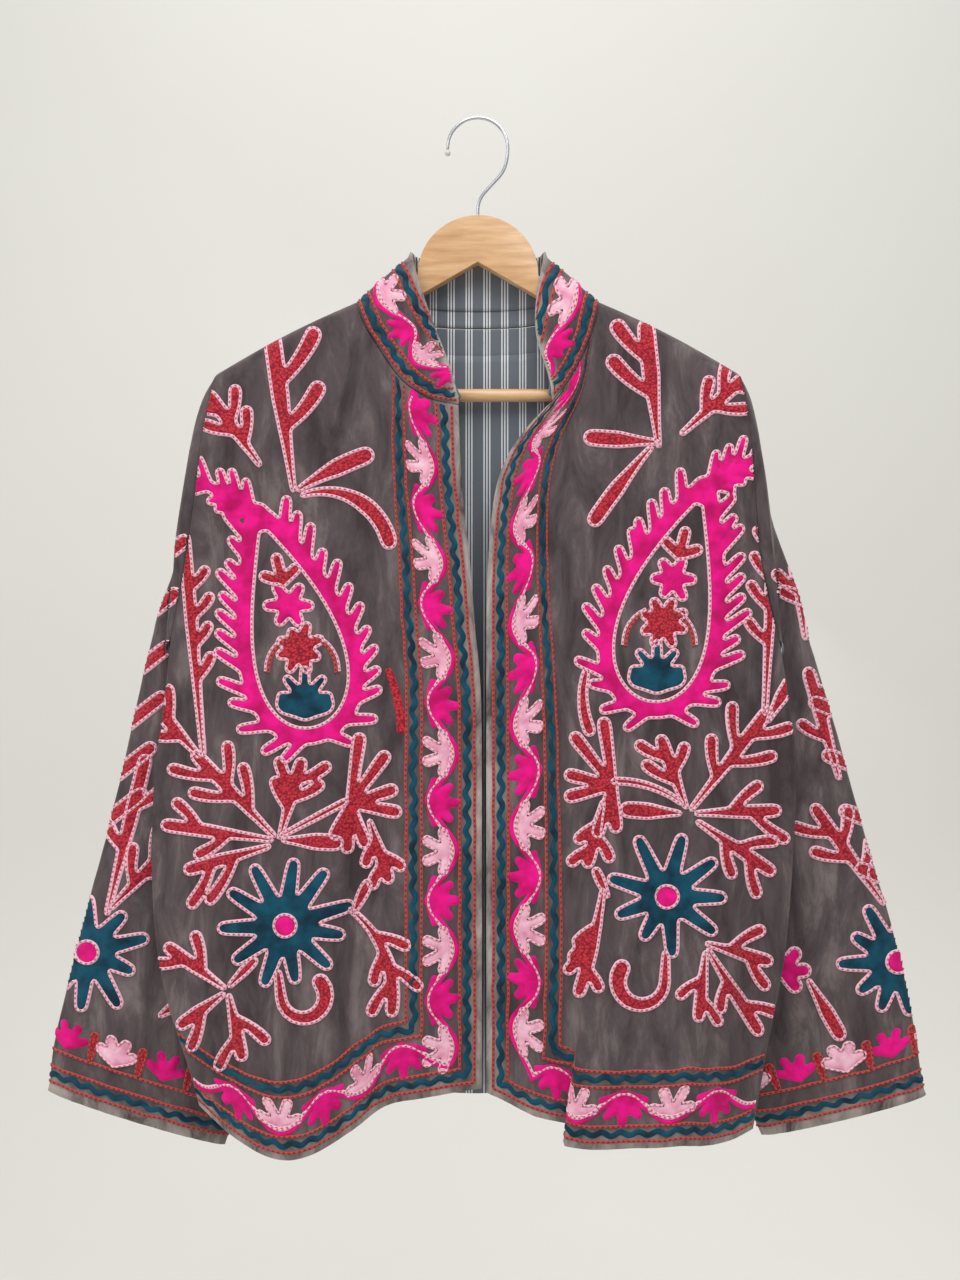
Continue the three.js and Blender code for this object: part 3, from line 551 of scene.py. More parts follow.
def creased(sheet, creases, grain=0.9, lift=0.0):
    """Presses soft troughs and ridges into a sheet. A crease has two ends, seen from the front
    in millimetres, a half width and a rise, grain is the unevenness of the whole cloth, and
    lift keeps it off what lies behind it. Along its seams and edges the sheet stays put."""
    sheet.normal_update()
    rim = nearest([v.co for v in sheet.verts if v.is_boundary])
    tree = BVHTree.FromBMesh(sheet)
    moves = []
    for v in sheet.verts:
        x, z = v.co.x / MM, v.co.z / MM
        rise = lift + grain * noise.noise(Vector((x / 26, v.co.y / MM / 26, z / 60)))
        rise += 0.35 * grain * noise.noise(Vector((x / 8, v.co.y / MM / 8, z / 14)))
        for crease in creases:
            (ax, az), (bx, bz) = crease["from"], crease["to"]
            dx, dz = bx - ax, bz - az
            run = ((x - ax) * dx + (z - az) * dz) / (dx * dx + dz * dz)
            if run < -0.25 or run > 1.25:
                continue
            along = min(max(run, 0), 1)
            bend = crease.get("bow", 0) * math.sin(math.pi * along) / math.hypot(dx, dz)
            off = math.hypot(x - ax - along * dx + bend * dz, z - az - along * dz - bend * dx)
            fade = math.sin(math.pi * (0.12 + 0.76 * along)) ** 0.7
            rise += crease["rise"] * fade * fading(off, crease["half"])
        held = fading(rim.find(v.co)[2] / MM, SEAM_HOLD)
        room = tree.ray_cast(v.co - v.normal * JUST_INSIDE, -v.normal)[3]
        deepest = 1 if room is None else 0.3 * room
        moves.append(max(rise * (1 - held) * MM, -deepest))
    normals = [v.normal.copy() for v in sheet.verts]
    for v, normal, move in zip(sheet.verts, normals, moves):
        v.co += normal * move


def edge_sheen(sheet, runs, reach):
    """Paints a pale sheen along some of the velvet's edges, each a row of vertices, as a painted
    highlight, and puckers it there.
    Reach is how far in, in millimetres, the painted sheen shows."""
    rim = nearest([v.co for run in runs for v in run])
    sheen_share = sheet.verts.layers.float["edge_sheen"]
    for v in sheet.verts:
        v[sheen_share] = fading(rim.find(v.co)[2] / MM, reach)
        ripple = noise.noise(v.co / MM / 7)
        v.co += v.normal * (ripple * PUCKER * v[sheen_share] * MM)


def edge_spots(sheet):
    """Places close together all along the edges of a sheet."""
    return [
        edge.verts[0].co.lerp(edge.verts[1].co, k / 8)
        for edge in sheet.edges
        if edge.is_boundary
        for k in range(8)
    ]


def joined(sheet, spots, side):
    """Draws the top of a sleeve on to the armhole it is sewn into, with the cloth beside it."""
    runs = edge_runs(sheet)
    ring = next(run for run in runs if run is not lowest(runs))
    armhole = nearest(spots)
    top = nearest([v.co for v in ring])
    gap = Vector((side * SEAM_GAP, 0, 0))
    shifts = [armhole.find(v.co)[0] + gap - v.co for v in ring]
    for v in sheet.verts:
        _, k, away = top.find(v.co)
        v.co += shifts[k] * fading(away / MM, SEAM_HOLD)


def thinned(sheet, thick):
    """Thins the wall in tight folds, so that its inner face stays within its outer one."""
    tree = BVHTree.FromBMesh(sheet)
    share = sheet.verts.layers.deform.verify()
    for v in sheet.verts:
        room = tree.ray_cast(v.co - v.normal * JUST_INSIDE, -v.normal, 3 * thick)[3]
        v[share][0] = 1.0 if room is None else min(1.0, max(0.05, 0.3 * room / thick))


def cloth_piece(sheet, name, node, flat, area, trim=(), thick=VELVET, outside=velvet):
    """Gives a sheet its thickness, its outer finish and its lining, and its place."""
    sheet.normal_update()
    thinned(sheet, thick)
    piece = finish_object(sheet, name, outside, striped)
    piece.vertex_groups.new(name="wall")
    wall = piece.modifiers.new("thickness", "SOLIDIFY")
    wall.vertex_group = "wall"
    wall.thickness = thick
    wall.offset = -1
    wall.material_offset = 1
    wall.material_offset_rim = 0
    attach(piece, "root")
    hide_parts(node)


# ---- threads ----------------------------------------------------------------------------
# The needlework is cotton chain stitch worked with a hook, in rows that lie side by side to
# fill a shape and in one looped row round it. Magenta and teal shapes are filled with rows
# so fine that they look like felt.

LINK = 4.2 * MM                 # one chain stitch, drawn a little longer than it is to show
FILL_KNOT = 2.2 * MM            # the thick stitches that fill the red shapes
CLOUDS_PER_METRE = 70           # where satin rows catch the light, in patches of 14 mm
ROWS_PER_METRE = 900            # the rows themselves, 1 mm apart
# the second colour of each thread is painted shade, darkening its stitches where the light does
# not fall
PINK_THREAD, PINK_SHADE = "#edb9c6", "#a8485e"
PALE_THREAD, PALE_SHADE = "#f2c0d0", "#d98aa6"
RUST_THREAD, RUST_SHADE = "#b24a45", "#5a2224"
RED_THREAD, RED_SHADE = "#cf343f", "#86182a"
MAGENTA_FELT, MAGENTA_DEEP = "#ea0a86", "#b8005c"
TEAL_FELT, TEAL_DEEP = "#084c60", "#032a3b"


def thread_surface(tree, colour, height, depth, roughness):
    """Dyed cotton: matt, with a faint sheen and its stitches in relief."""
    relief = put(tree, "ShaderNodeBump", {"Height": height, "Strength": 0.7, "Distance": depth})
    surface(
        tree,
        put(
            tree,
            "ShaderNodeBsdfPrincipled",
            {
                "Base Color": colour,
                "Roughness": roughness,
                "Specular IOR Level": 0.25,
                "Sheen Weight": 0.12,
                "Sheen Roughness": 0.4,
                "Normal": relief.outputs["Normal"],
            },
        ),
    )


def chain_stitch(name, thread, hole_shade):
    """A row of looped links along a ribbon's UV map, each with painted shade in the hole in its
    middle.
    """
    material, tree = new_material(name)
    ribbon = put(tree, "ShaderNodeUVMap", uv_map="thread").outputs[0]
    spot = put(tree, "ShaderNodeSeparateXYZ", {"Vector": ribbon})
    side = put(tree, "ShaderNodeMath", {0: spot.outputs["Y"]}, operation="ABSOLUTE")
    bowed = put(
        tree,
        "ShaderNodeMath",
        {0: side.outputs[0], 1: 0.3, 2: spot.outputs["X"]},
        operation="MULTIPLY_ADD",
    )
    phase = put(tree, "ShaderNodeMath", {0: bowed.outputs[0]}, operation="FRACT")
    off = put(tree, "ShaderNodeMath", {0: phase.outputs[0], 1: 0.5}, operation="SUBTRACT")
    flat = put(tree, "ShaderNodeMath", {0: side.outputs[0], 1: 0.55}, operation="MULTIPLY")
    hole = put(tree, "ShaderNodeCombineXYZ", {"X": off.outputs[0], "Y": flat.outputs[0]})
    reach = put(tree, "ShaderNodeVectorMath", {0: hole.outputs[0]}, operation="LENGTH")
    thickness = put(
        tree,
        "ShaderNodeMapRange",
        {"Value": reach.outputs["Value"], "From Min": 0.1, "From Max": 0.32},
    )
    # painted shade: each link darkens into the hole in its middle
    shade = put(
        tree,
        "ShaderNodeMix",
        {"Factor": thickness.outputs[0], "A": linear(hole_shade), "B": linear(thread)},
        data_type="RGBA",
    )
    thread_surface(tree, shade.outputs[2], thickness.outputs[0], 0.0008, 0.8)
    return material


def felted(name, light, shaded):
    """Fine close rows that show only as a soft nap, lighter where they catch the light."""
    material, tree = new_material(name)
    place = put(tree, "ShaderNodeTexCoord").outputs["Object"]
    cloudy = put(
        tree, "ShaderNodeTexNoise", {"Vector": place, "Scale": CLOUDS_PER_METRE, "Detail": 5}
    )
    rows = put(tree, "ShaderNodeTexNoise", {"Vector": place, "Scale": ROWS_PER_METRE, "Detail": 2})
    level = put(
        tree,
        "ShaderNodeMapRange",
        {"Value": cloudy.outputs["Fac"], "From Min": 0.35, "From Max": 0.62},
    )
    shade = put(
        tree,
        "ShaderNodeMix",
        {"Factor": level.outputs[0], "A": linear(shaded), "B": linear(light)},
        data_type="RGBA",
    )
    thread_surface(tree, shade.outputs[2], rows.outputs["Fac"], 0.0005, 0.85)
    return material


def knotted(name, light, shaded):
    """Thick looped stitches packed side by side, with painted shade in the pits between them."""
    material, tree = new_material(name)
    place = put(tree, "ShaderNodeTexCoord").outputs["Object"]
    knots = put(tree, "ShaderNodeTexVoronoi", {"Vector": place, "Scale": 1 / FILL_KNOT})
    raised = put(
        tree,
        "ShaderNodeMapRange",
        {
            "Value": knots.outputs["Distance"],
            "From Min": 0.25,
            "From Max": 0.75,
            "To Min": 1.0,
            "To Max": 0.0,
        },
    )
    # painted shade: each knot darkens towards the pits around it
    shade = put(
        tree,
        "ShaderNodeMix",
        {"Factor": raised.outputs[0], "A": linear(shaded), "B": linear(light)},
        data_type="RGBA",
    )
    thread_surface(tree, shade.outputs[2], raised.outputs[0], 0.0012, 0.85)
    return material


THREADS = {
    "red": knotted("red_filling_stitch", RED_THREAD, RED_SHADE),
    "magenta": felted("magenta_satin_rows", MAGENTA_FELT, MAGENTA_DEEP),
    "teal": felted("teal_satin_rows", TEAL_FELT, TEAL_DEEP),
    "pale": felted("pale_pink_rows", PALE_THREAD, PALE_SHADE),
    "pink_row": chain_stitch("pink_chain_stitch", PINK_THREAD, PINK_SHADE),
    "rust_row": chain_stitch("rust_chain_stitch", RUST_THREAD, RUST_SHADE),
}

# ---- needlework -------------------------------------------------------------------------
# Every motif is drawn flat as a union of tapering strokes, each a list of places with a
# half width. It is then laid on its panel and stands proud by a thread's thickness, and a
# chain row follows its outline. All sizes are in millimetres.

FILL_CELL = 1.5                 # mesh step of a filled shape
FILL_SLOPE = 1.2                # how far in from its edge a fill reaches its full height
FILL_RELIEF = 1.1
ROW_STEP = 1.7                  # mesh step along a chain row
ROW_WIDTH = 3.3
ROW_RELIEF = 1.5
SUNK = -0.35                    # the edges of a shape lie just under the pile
CORNER_BLEND = 0.55             # how far two strokes melt together where they meet
SMALLEST_OUTLINE = 14           # a hole with so few points round it is filled in
MOST_STRETCH = 2.5              # work that the cloth would stretch more than this is cut there


def needlework():
    """An empty mesh for each thread on one panel."""
    return {thread: bmesh.new() for thread in THREADS}


def sewn(work, panel):
    """Turns a panel's needlework into pieces, one for each thread that it uses."""
    pieces = []
    for thread, bm in work.items():
        if len(bm.faces) == 0:
            bm.free()
            continue
        piece = finish_object(bm, f"{panel}_{thread}", THREADS[thread])
        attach(piece, "root")
        pieces.append(piece)
    return pieces


def from_front(tree):
    """Finds the place on a hanging panel behind a point across and up, seen square on."""

    def place(x, z):
        aim = Vector((x * MM, 0, z * MM)) - EYE
        spot, normal, _, _ = tree.ray_cast(EYE, aim.normalized())
        if spot is None:
            return None
        return spot, normal if normal.dot(aim) < 0 else -normal

    return place


def edge_runs(sheet):
    """The edges of a sheet, each a row of vertices from corner to corner, or round a ring from
    the place furthest behind."""
    corners = [v for v in sheet.verts if len(v.link_faces) == 1]
    runs = []
    seen = set()
    rim = sorted((v for v in sheet.verts if v.is_boundary), key=lambda v: -v.co.y)
    for start in corners or rim:
        for edge in start.link_edges:
            if not edge.is_boundary or edge in seen:
                continue
            run = [start]
            while True:
                seen.add(edge)
                run.append(edge.other_vert(run[-1]))
                if run[-1] is start or len(run[-1].link_faces) == 1:
                    break
                edge = next(e for e in run[-1].link_edges if e.is_boundary and e is not edge)
            runs.append(run)
    return runs


def lowest(runs):
    """The one of some edges that hangs lowest."""
    return min(runs, key=lambda run: sum(v.co.z for v in run) / len(run))


def run_length(line):
    """How far along a line each of its points is."""
    return np.concatenate(([0.0], np.cumsum(np.linalg.norm(np.diff(line, axis=0), axis=1))))


def from_edge(run, depth):
    """Finds the place on a panel so far along one of its edges and so far in from it."""
    rows = [run]
    taken = set(run)
    inward = [[0.0] * len(run)]
    while min(inward[-1]) < depth:
        row = []
        for v in rows[-1]:
            ahead = [e.other_vert(v) for e in v.link_edges if e.other_vert(v) not in taken]
            if len(ahead) == 0:
                break
            row.append(ahead[0])
        if len(row) < len(run):
            break
        taken.update(row)
        inward.append(
            [s + (a.co - b.co).length / MM for s, a, b in zip(inward[-1], rows[-1], row)]
        )
        rows.append(row)
    places = np.array([[v.co[:] for v in row] for row in rows])
    normals = np.array([[v.normal[:] for v in row] for row in rows])
    inward = np.array(inward)
    length = run_length(places[0]) / MM

    def on_column(column, away):
        here = [np.interp(away, inward[:, column], places[:, column, k]) for k in range(3)]
        up = [np.interp(away, inward[:, column], normals[:, column, k]) for k in range(3)]
        return np.array(here), np.array(up)

    def place(along, away):
        if not 0 <= along <= length[-1]:
            return None
        column = min(int(np.searchsorted(length, along, side="right")) - 1, len(length) - 2)
        if not 0 <= away <= min(inward[-1, column], inward[-1, column + 1]):
            return None
        share = (along - length[column]) / (length[column + 1] - length[column])
        (a, up_a), (b, up_b) = on_column(column, away), on_column(column + 1, away)
        return Vector(a + (b - a) * share), Vector(up_a + (up_b - up_a) * share).normalized()

    return place, float(length[-1])


def lay(bm, shaped, place):
    """Lays flat work on the cloth: each vertex goes where its place is, raised by its rise."""
    lost = []
    facing = {}
    for v, (x, rise, z) in shaped.items():
        found = place(x, z)
        if found is None:
            lost.append(v)
            continue
        spot, normal = found
        v.co = spot + normal * (rise * MM)
        facing[v] = normal
    torn = {
        edge
        for v in facing
        for edge in v.link_edges
        if all(end in facing for end in edge.verts)
        and edge.calc_length() / MM > MOST_STRETCH * flat_length(edge, shaped) + FILL_CELL
    }
    faces = {face for v in facing for face in v.link_faces}
    kept = [face for face in faces if all(v in facing for v in face.verts)]
    for face in kept:
        face.normal_update()
    if sum(face.normal.dot(facing[face.verts[0]]) for face in kept) < 0:
        bmesh.ops.reverse_faces(bm, faces=kept)
    bad = {face for edge in torn for face in edge.link_faces}
    bmesh.ops.delete(bm, geom=list(bad), context="FACES")
    bmesh.ops.delete(bm, geom=[v for v in lost if v.is_valid], context="VERTS")


def flat_length(edge, shaped):
    """The length of an edge before its shape was laid on the cloth."""
    (ax, _, az), (bx, _, bz) = shaped[edge.verts[0]], shaped[edge.verts[1]]
    return math.hypot(bx - ax, bz - az)


def gap_to(points, strokes):
    """How far points lie from a union of tapering strokes, and less than nothing inside it."""
    total = np.zeros(len(points))
    for line in strokes:
        for (ax, az, ar), (bx, bz, br) in zip(line, line[1:]):
            run = np.array((bx - ax, bz - az))
            rel = points - (ax, az)
            share = np.clip(rel @ run / max(run @ run, 1e-9), 0, 1)
            off = np.linalg.norm(rel - share[:, None] * run, axis=1)
            total += np.exp((ar + (br - ar) * share - off) / CORNER_BLEND)
    return -CORNER_BLEND * np.log(total + 1e-300)


def filled(bm, place, strokes, relief=FILL_RELIEF):
    """Fills a union of strokes with raised stitches, and returns its outlines, flat."""
    spots = np.array([spot for line in strokes for spot in line])
    reach = spots[:, 2].max() + 2 * FILL_CELL
    low, high = spots[:, :2].min(0) - reach, spots[:, :2].max(0) + reach
    across, up = (int(n) for n in np.ceil((high - low) / FILL_CELL))
    grid = bmesh.ops.create_grid(bm, x_segments=across, y_segments=up, size=0.5)["verts"]
    flat = low + (np.array([v.co.xy[:] for v in grid]) + 0.5) * (high - low)
    gap = gap_to(flat, strokes)
    bmesh.ops.delete(
        bm, geom=[v for v, g in zip(grid, gap) if g > 0.45 * FILL_CELL], context="VERTS"
    )
    loose = [v for v in grid if v.is_valid and not v.link_faces]
    bmesh.ops.delete(bm, geom=loose, context="VERTS")
    rim = [edge for v in grid if v.is_valid for edge in v.link_edges if edge.is_boundary]
    bmesh.ops.holes_fill(bm, edges=list(dict.fromkeys(rim)), sides=SMALLEST_OUTLINE)
    slope_x = (gap_to(flat + (0.05, 0), strokes) - gap) / 0.05
    slope_z = (gap_to(flat + (0, 0.05), strokes) - gap) / 0.05
    shaped = {}
    for v, (x, z), g, sx, sz in zip(grid, flat, gap, slope_x, slope_z):
        if not v.is_valid:
            continue
        if v.is_boundary:
            shaped[v] = (x - g * sx, SUNK, z - g * sz)
        else:
            shaped[v] = (x, relief * (1 - math.exp(min(g, 0) / FILL_SLOPE)), z)
    loops = outlines(shaped)
    lay(bm, shaped, place)
    return loops


def outlines(shaped):
    """The closed edges of a filled shape, flat, in order round it."""
    loops = []
    seen = set()
    for v in shaped:
        for edge in v.link_edges:
            if not edge.is_boundary or edge in seen:
                continue
            loop = edge.link_loops[0]
            line = []
            while loop.edge not in seen:
                seen.add(loop.edge)
                x, _, z = shaped[loop.vert]
                line.append((x, z))
                loop = loop.link_loop_next
                while not loop.edge.is_boundary:
                    loop = loop.link_loop_radial_next.link_loop_next
            loops.append(np.array(line))
    return loops


def evened(line, closed):
    """A line with its corners eased and its points one row step apart."""
    for _ in range(3 if closed else 0):
        line = (np.roll(line, 1, 0) + 2 * line + np.roll(line, -1, 0)) / 4
    if closed:
        line = np.vstack((line, line[:1]))
    length = run_length(line)
    steps = max(4, round(length[-1] / ROW_STEP))
    spots = np.linspace(0, length[-1], steps + 1)
    return np.column_stack([np.interp(spots, length, line[:, k]) for k in (0, 1)])


def row(bm, place, line, closed=False, width=ROW_WIDTH, relief=ROW_RELIEF):
    """Lays one row of thread along a line, rounded across, with its links in its UV map."""
    line = evened(np.array(line, dtype=float), closed)
    count = len(line) - 1
    heading = np.gradient(line, axis=0)
    if closed:
        heading[0] = heading[-1] = line[1] - line[-2]
    heading /= np.maximum(np.linalg.norm(heading, axis=1), 1e-9)[:, None]
    length = run_length(line)
    links = max(1, round(length[-1] * MM / LINK)) / length[-1]
    thread = bm.loops.layers.uv.get("thread") or bm.loops.layers.uv.new("thread")
    grid = bmesh.ops.create_grid(bm, x_segments=count, y_segments=4, size=1)["verts"]
    shaped = {}
    for v in grid:
        at = round((v.co.x + 1) / 2 * count)
        side = v.co.y
        for loop in v.link_loops:
            loop[thread].uv = (length[at] * links, side)
        x, z = line[at] + np.array((-heading[at][1], heading[at][0])) * side * width / 2
        shaped[v] = (x, SUNK + (relief - SUNK) * math.sqrt(max(0, 1 - side * side)), z)
    lay(bm, shaped, place)


def motif(work, place, thread, strokes, edging="pink_row", relief=FILL_RELIEF, width=ROW_WIDTH):
    """A filled shape with a chain row round it."""
    for line in filled(work[thread], place, strokes, relief):
        if edging and len(line) > SMALLEST_OUTLINE:
            row(work[edging], place, line, closed=True, width=width, relief=relief + 0.4)


def onward(spot, turn, length):
    """The place a length away, on a heading in degrees from straight up and clockwise."""
    angle = math.radians(turn)
    return spot[0] + length * math.sin(angle), spot[1] + length * math.cos(angle)


def uneven(spot, amount):
    """A number near 1, different from place to place, as handwork is."""
    return 1 + amount * 2 * noise.noise(Vector((spot[0] / 9.7, spot[1] / 7.3, 4.1)))


def stroke(start, turn, length, root, tip, curl=0):
    """A tapering stroke that sets out on a heading and curls by so many degrees."""
    steps = max(3, round(length / 6))
    line = [(*start, root)]
    for k in range(steps):
        spot = onward(line[-1], turn + curl * (k + 0.5) / steps, length / steps)
        line.append((*spot, root + (tip - root) * (k + 1) / steps))
    return line


def sprig(start, turn, length, curl=0, sides="", reach=30, splay=54, body=4.4, root=1.3):
    """A stem that thickens from its root, with long rounded lobes to its left and right."""
    steps = max(6, round(length / 4))
    stem = [(*start, root)]
    strokes = [stem]
    for k in range(steps):
        share = (k + 1) / steps
        spot = onward(stem[-1], turn + curl * (k + 0.5) / steps, length / steps)
        stem.append((*spot, root + (body - root) * min(1, share / 0.6) ** 1.3))
    for k, side in enumerate(sides):
        share = 0.28 + 0.56 * (k + 0.5) / len(sides)
        x, z, _ = stem[round(share * steps)]
        lean = splay * uneven((x, z), 0.15) * (1 if side == "r" else -1)
        long = reach * 1.12 * uneven((z, x), 0.15)
        heading = turn + curl * share + lean
        strokes.append(stroke((x, z), heading, long, 0.62 * body, body, -0.4 * lean))
    return strokes


def crook(start, turn, straight, bend, curl, root, tip):
    """A stroke that runs straight and then curls over, thickening to its end."""
    middle = root + 0.3 * (tip - root)
    shaft = stroke(start, turn, straight, root, middle)
    return shaft + stroke(shaft[-1][:2], turn, bend, middle, tip, curl)[1:]


def disc(centre, half):
    """A round spot, as a stroke with hardly any length."""
    x, z = centre
    return [(x, z, half), (x + 0.1, z, half)]


def rayed(centre, petals, reach, heart, root, tip, turn):
    """A star flower: petals all round a heart."""
    strokes = [disc(centre, heart)]
    for k in range(petals):
        heading = turn + 360 * k / petals
        spot = onward(centre, heading, heart * 0.6)
        long = (reach - heart * 0.6 - tip) * uneven(onward(centre, heading, reach), 0.22)
        strokes.append(stroke(spot, heading + 14 * (uneven(spot, 0.5) - 1), long, root, tip))
    return strokes


STAR = {"heart": 21, "root": 6.8, "tip": 4.6}
STAR_DISC = 9.5


def star(work, place, centre, petals, reach, turn):
    """A teal flower with a magenta disc in its heart."""
    motif(work, place, "teal", rayed(centre, petals, reach, **STAR, turn=turn))
    motif(work, place, "magenta", [disc(centre, STAR_DISC)], relief=2.4)


def fan(base, turn, petals, spread, reach, root, tip):
    """Half a flower: petals that open from one base over a spread of degrees."""
    strokes = []
    for k in range(petals):
        lean = spread * (k / (petals - 1) - 0.5)
        long = reach * (1 - 0.22 * abs(2 * lean / spread))
        strokes.append(stroke(base, turn + lean, long, root, tip))
    return strokes


# ---- buta -------------------------------------------------------------------------------
# The great leaf on each breast: a magenta band round a pear shape that stands on its round
# foot, fringed with flames, its tip drawn out into a horn. Flowers stand one above another
# inside it.

BUTA = {"width": 75, "length": 170, "lean": 38, "band": 14, "flame": 25, "flame_step": 15.5}
HORN = {"turn": 54, "length": 60, "curl": 12, "flames": 4, "up": (-44, 25), "down": (46, 17)}


def pear(foot, width, length, lean):
    """A closed pear outline from its pointed tip round its foot and back to the tip."""
    line = []
    for k in range(72):
        angle = 2 * math.pi * k / 72
        up = (1 + math.cos(angle)) / 2
        side = 1.35 * math.sin(angle) * math.sin(angle / 2) ** 1.1
        line.append((foot[0] + side * width / 2 + lean * up**2, foot[1] + length * up))
    return np.array(line)


def buta(work, place, foot, side):
    """One great leaf on its foot, leaning to one side of the panel, -1 left or 1 right."""
    inner = pear(foot, BUTA["width"], BUTA["length"], BUTA["lean"] * side)
    ahead = np.roll(inner, -1, 0) - np.roll(inner, 1, 0)
    ahead /= np.linalg.norm(ahead, axis=1)[:, None]
    outward = np.column_stack((-ahead[:, 1], ahead[:, 0]))
    middle = inner.mean(0)
    if ((inner - middle) * outward).sum() < 0:
        outward = -outward
    spine = inner[2:-2] + outward[2:-2] * BUTA["band"] / 2
    half = BUTA["band"] / 2 - 0.8
    strokes = [[(x, z, half) for x, z in spine]]
    tip = inner[0] + (2 * side, 6)
    strokes.append([(*spine[0], half), (*tip, 10), (*spine[-1], half)])
    horn = stroke(tip, HORN["turn"] * side, HORN["length"], 7, 3, HORN["curl"] * side)
    strokes += [horn, [(*inner[0], 7), (*tip, 9)]]
    for k in range(HORN["flames"]):
        share = (k + 0.4) / (HORN["flames"] + 0.4)
        spot = horn[round(share * (len(horn) - 1))][:2]
        for lean, long in (HORN["up"], HORN["down"]):
            heading = HORN["turn"] + HORN["curl"] * share + lean
            strokes.append(stroke(spot, heading * side, long * uneven(spot, 0.15), 3.3, 2.9))
    run = run_length(spine)
    count = round(run[-1] / BUTA["flame_step"])
    for k in range(1, count):
        at = np.searchsorted(run, run[-1] * k / count)
        spot, out = spine[at], outward[2 + at]
        towards_tip = -ahead[2 + at] if at < len(spine) / 2 else ahead[2 + at]
        aim = out * 0.74 + towards_tip * 0.68
        heading = math.degrees(math.atan2(aim[0], aim[1]))
        long = BUTA["flame"] * uneven(spot, 0.2)
        strokes.append(stroke(spot, heading, long, 4.3, 3.4))
    motif(work, place, "magenta", strokes)
    inside(work, place, foot, side)


def inside(work, place, foot, side):
    """The flowers that stand one on another within a great leaf, two arms round the second."""

    def up(height):
        share = height / BUTA["length"]
        return foot[0] + BUTA["lean"] * side * share**2, foot[1] + height

    (left, low), (right, _) = up(20), up(20)
    bowl = [(left - 15, low, 8.5), (*up(16), 9), (right + 15, low, 8.5)]
    motif(work, place, "teal", [bowl, *fan(up(23), 0, 5, 160, 25, 3.6, 3.2)])
    motif(work, place, "red", rayed(up(66), 8, 21, 9, 4.2, 3.6, 22))
    motif(work, place, "magenta", rayed(up(102), 6, 20, 9, 4.4, 3.8, 30))
    motif(work, place, "red", fan(up(121), 14 * side, 3, 116, 20, 3.2, 4))
    for arm in (-1, 1):
        x, z = up(46)
        line = stroke((x + arm * 28, z), arm * 2, 38, 1.6, 2.2, -arm * 70)
        row(work["rust_row"], place, [spot[:2] for spot in line], width=3.2)
        row(work["pink_row"], place, [(a + arm * 2.8, b + 1) for a, b, _ in line], width=2.6)


# ---- borders ----------------------------------------------------------------------------
# A running border follows the front edges, the hems, the collar and the cuffs: a wavy teal
# line between two thin rust rows on each side of a vine with a flower in every bend.

RAILS = ((6, "rust_row"), (12, "teal"), (18, "rust_row"),
         (49, "rust_row"), (55.5, "teal"), (61.5, "rust_row"))
VINE = {"middle": 33.5, "swing": 10, "repeat": 77.5}
BORDER_DEPTH = 72
CORNER_SPARE = 14               # how far a line runs on past a corner before it is cut there
CORNER_POINTS = 50              # how many of a line's last points may lie at the corner
BUD_BESIDE = 3.2                # from a vine's pink chain to its magenta line
FIRST_CREST = 16                # the first magenta flower below the neck
HEM_CREST = 62                  # and the first from the front edge along the hem


def rail(thread, start, end, away):
    """One line of the border: a plain rust row or a wavy teal one."""
    line = []
    for along in np.arange(start, end, 1.5):
        wave = 1.5 * math.sin(2 * math.pi * along / 15) if thread == "teal" else 0
        line.append((along, away + wave + 1.1 * noise.noise(Vector((along / 18, away, 0)))))
    return line


def sew_rail(work, place, thread, line):
    """Sews a line of the border, the teal ones wider."""
    if len(line) > 3:
        row(work[thread], place, line, width=5.4 if thread == "teal" else 2.9, relief=1.2)


def vine(start, end, shape, crest, beside=0):
    """The wavy line of a vine with a crest at one place, or a line a little beside it."""
    line = []
    for along in np.arange(start, end, 2.0):
        turn = 2 * math.pi * (along - crest) / shape["repeat"]
        line.append((along, shape["middle"] - beside + shape["swing"] * math.cos(turn)))
    return line


def sew_vine(work, place, bud, chain):
    """Sews a vine: a magenta line beside a pink chain."""
    if len(chain) > 3:
        row(work["magenta"], place, bud, width=4, relief=1.2)
        row(work["pink_row"], place, chain, width=3.2)


def blooms(work, place, crest, end, shape, size=1.0):
    """Half flowers in the bends of a vine, magenta at its crests and pale between them."""
    half = shape["repeat"] / 2
    for k in range(int((end - crest) / half) + 1):
        along = crest + k * half
        if k % 2 == 0:
            base = (along, shape["middle"] + shape["swing"] - 3)
            petals = fan(base, 180, 5, 165, 21 * size, 5.5 * size, 3.8 * size)
            motif(work, place, "magenta", petals, None, relief=1.4)
        else:
            base = (along, shape["middle"] - shape["swing"] + 4)
            petals = fan(base, 0, 4, 150, 20 * size, 2.2 * size, 3.7 * size)
            motif(work, place, "pale", petals, relief=1.0, width=2.3)


def mitred(down, down_place, level, level_place):
    """Cuts a line down a front and a line along its hem where they cross on the cloth."""
    late = range(max(0, len(down) - CORNER_POINTS), len(down))
    ends = [(k, down_place(*down[k])) for k in late]
    starts = [(k, level_place(*level[k])) for k in range(min(CORNER_POINTS, len(level)))]
    _, last, first = min(
        ((a[0] - b[0]).length, k, j) for k, a in ends for j, b in starts if a and b
    )
    return down[: last + 1], level[first:]


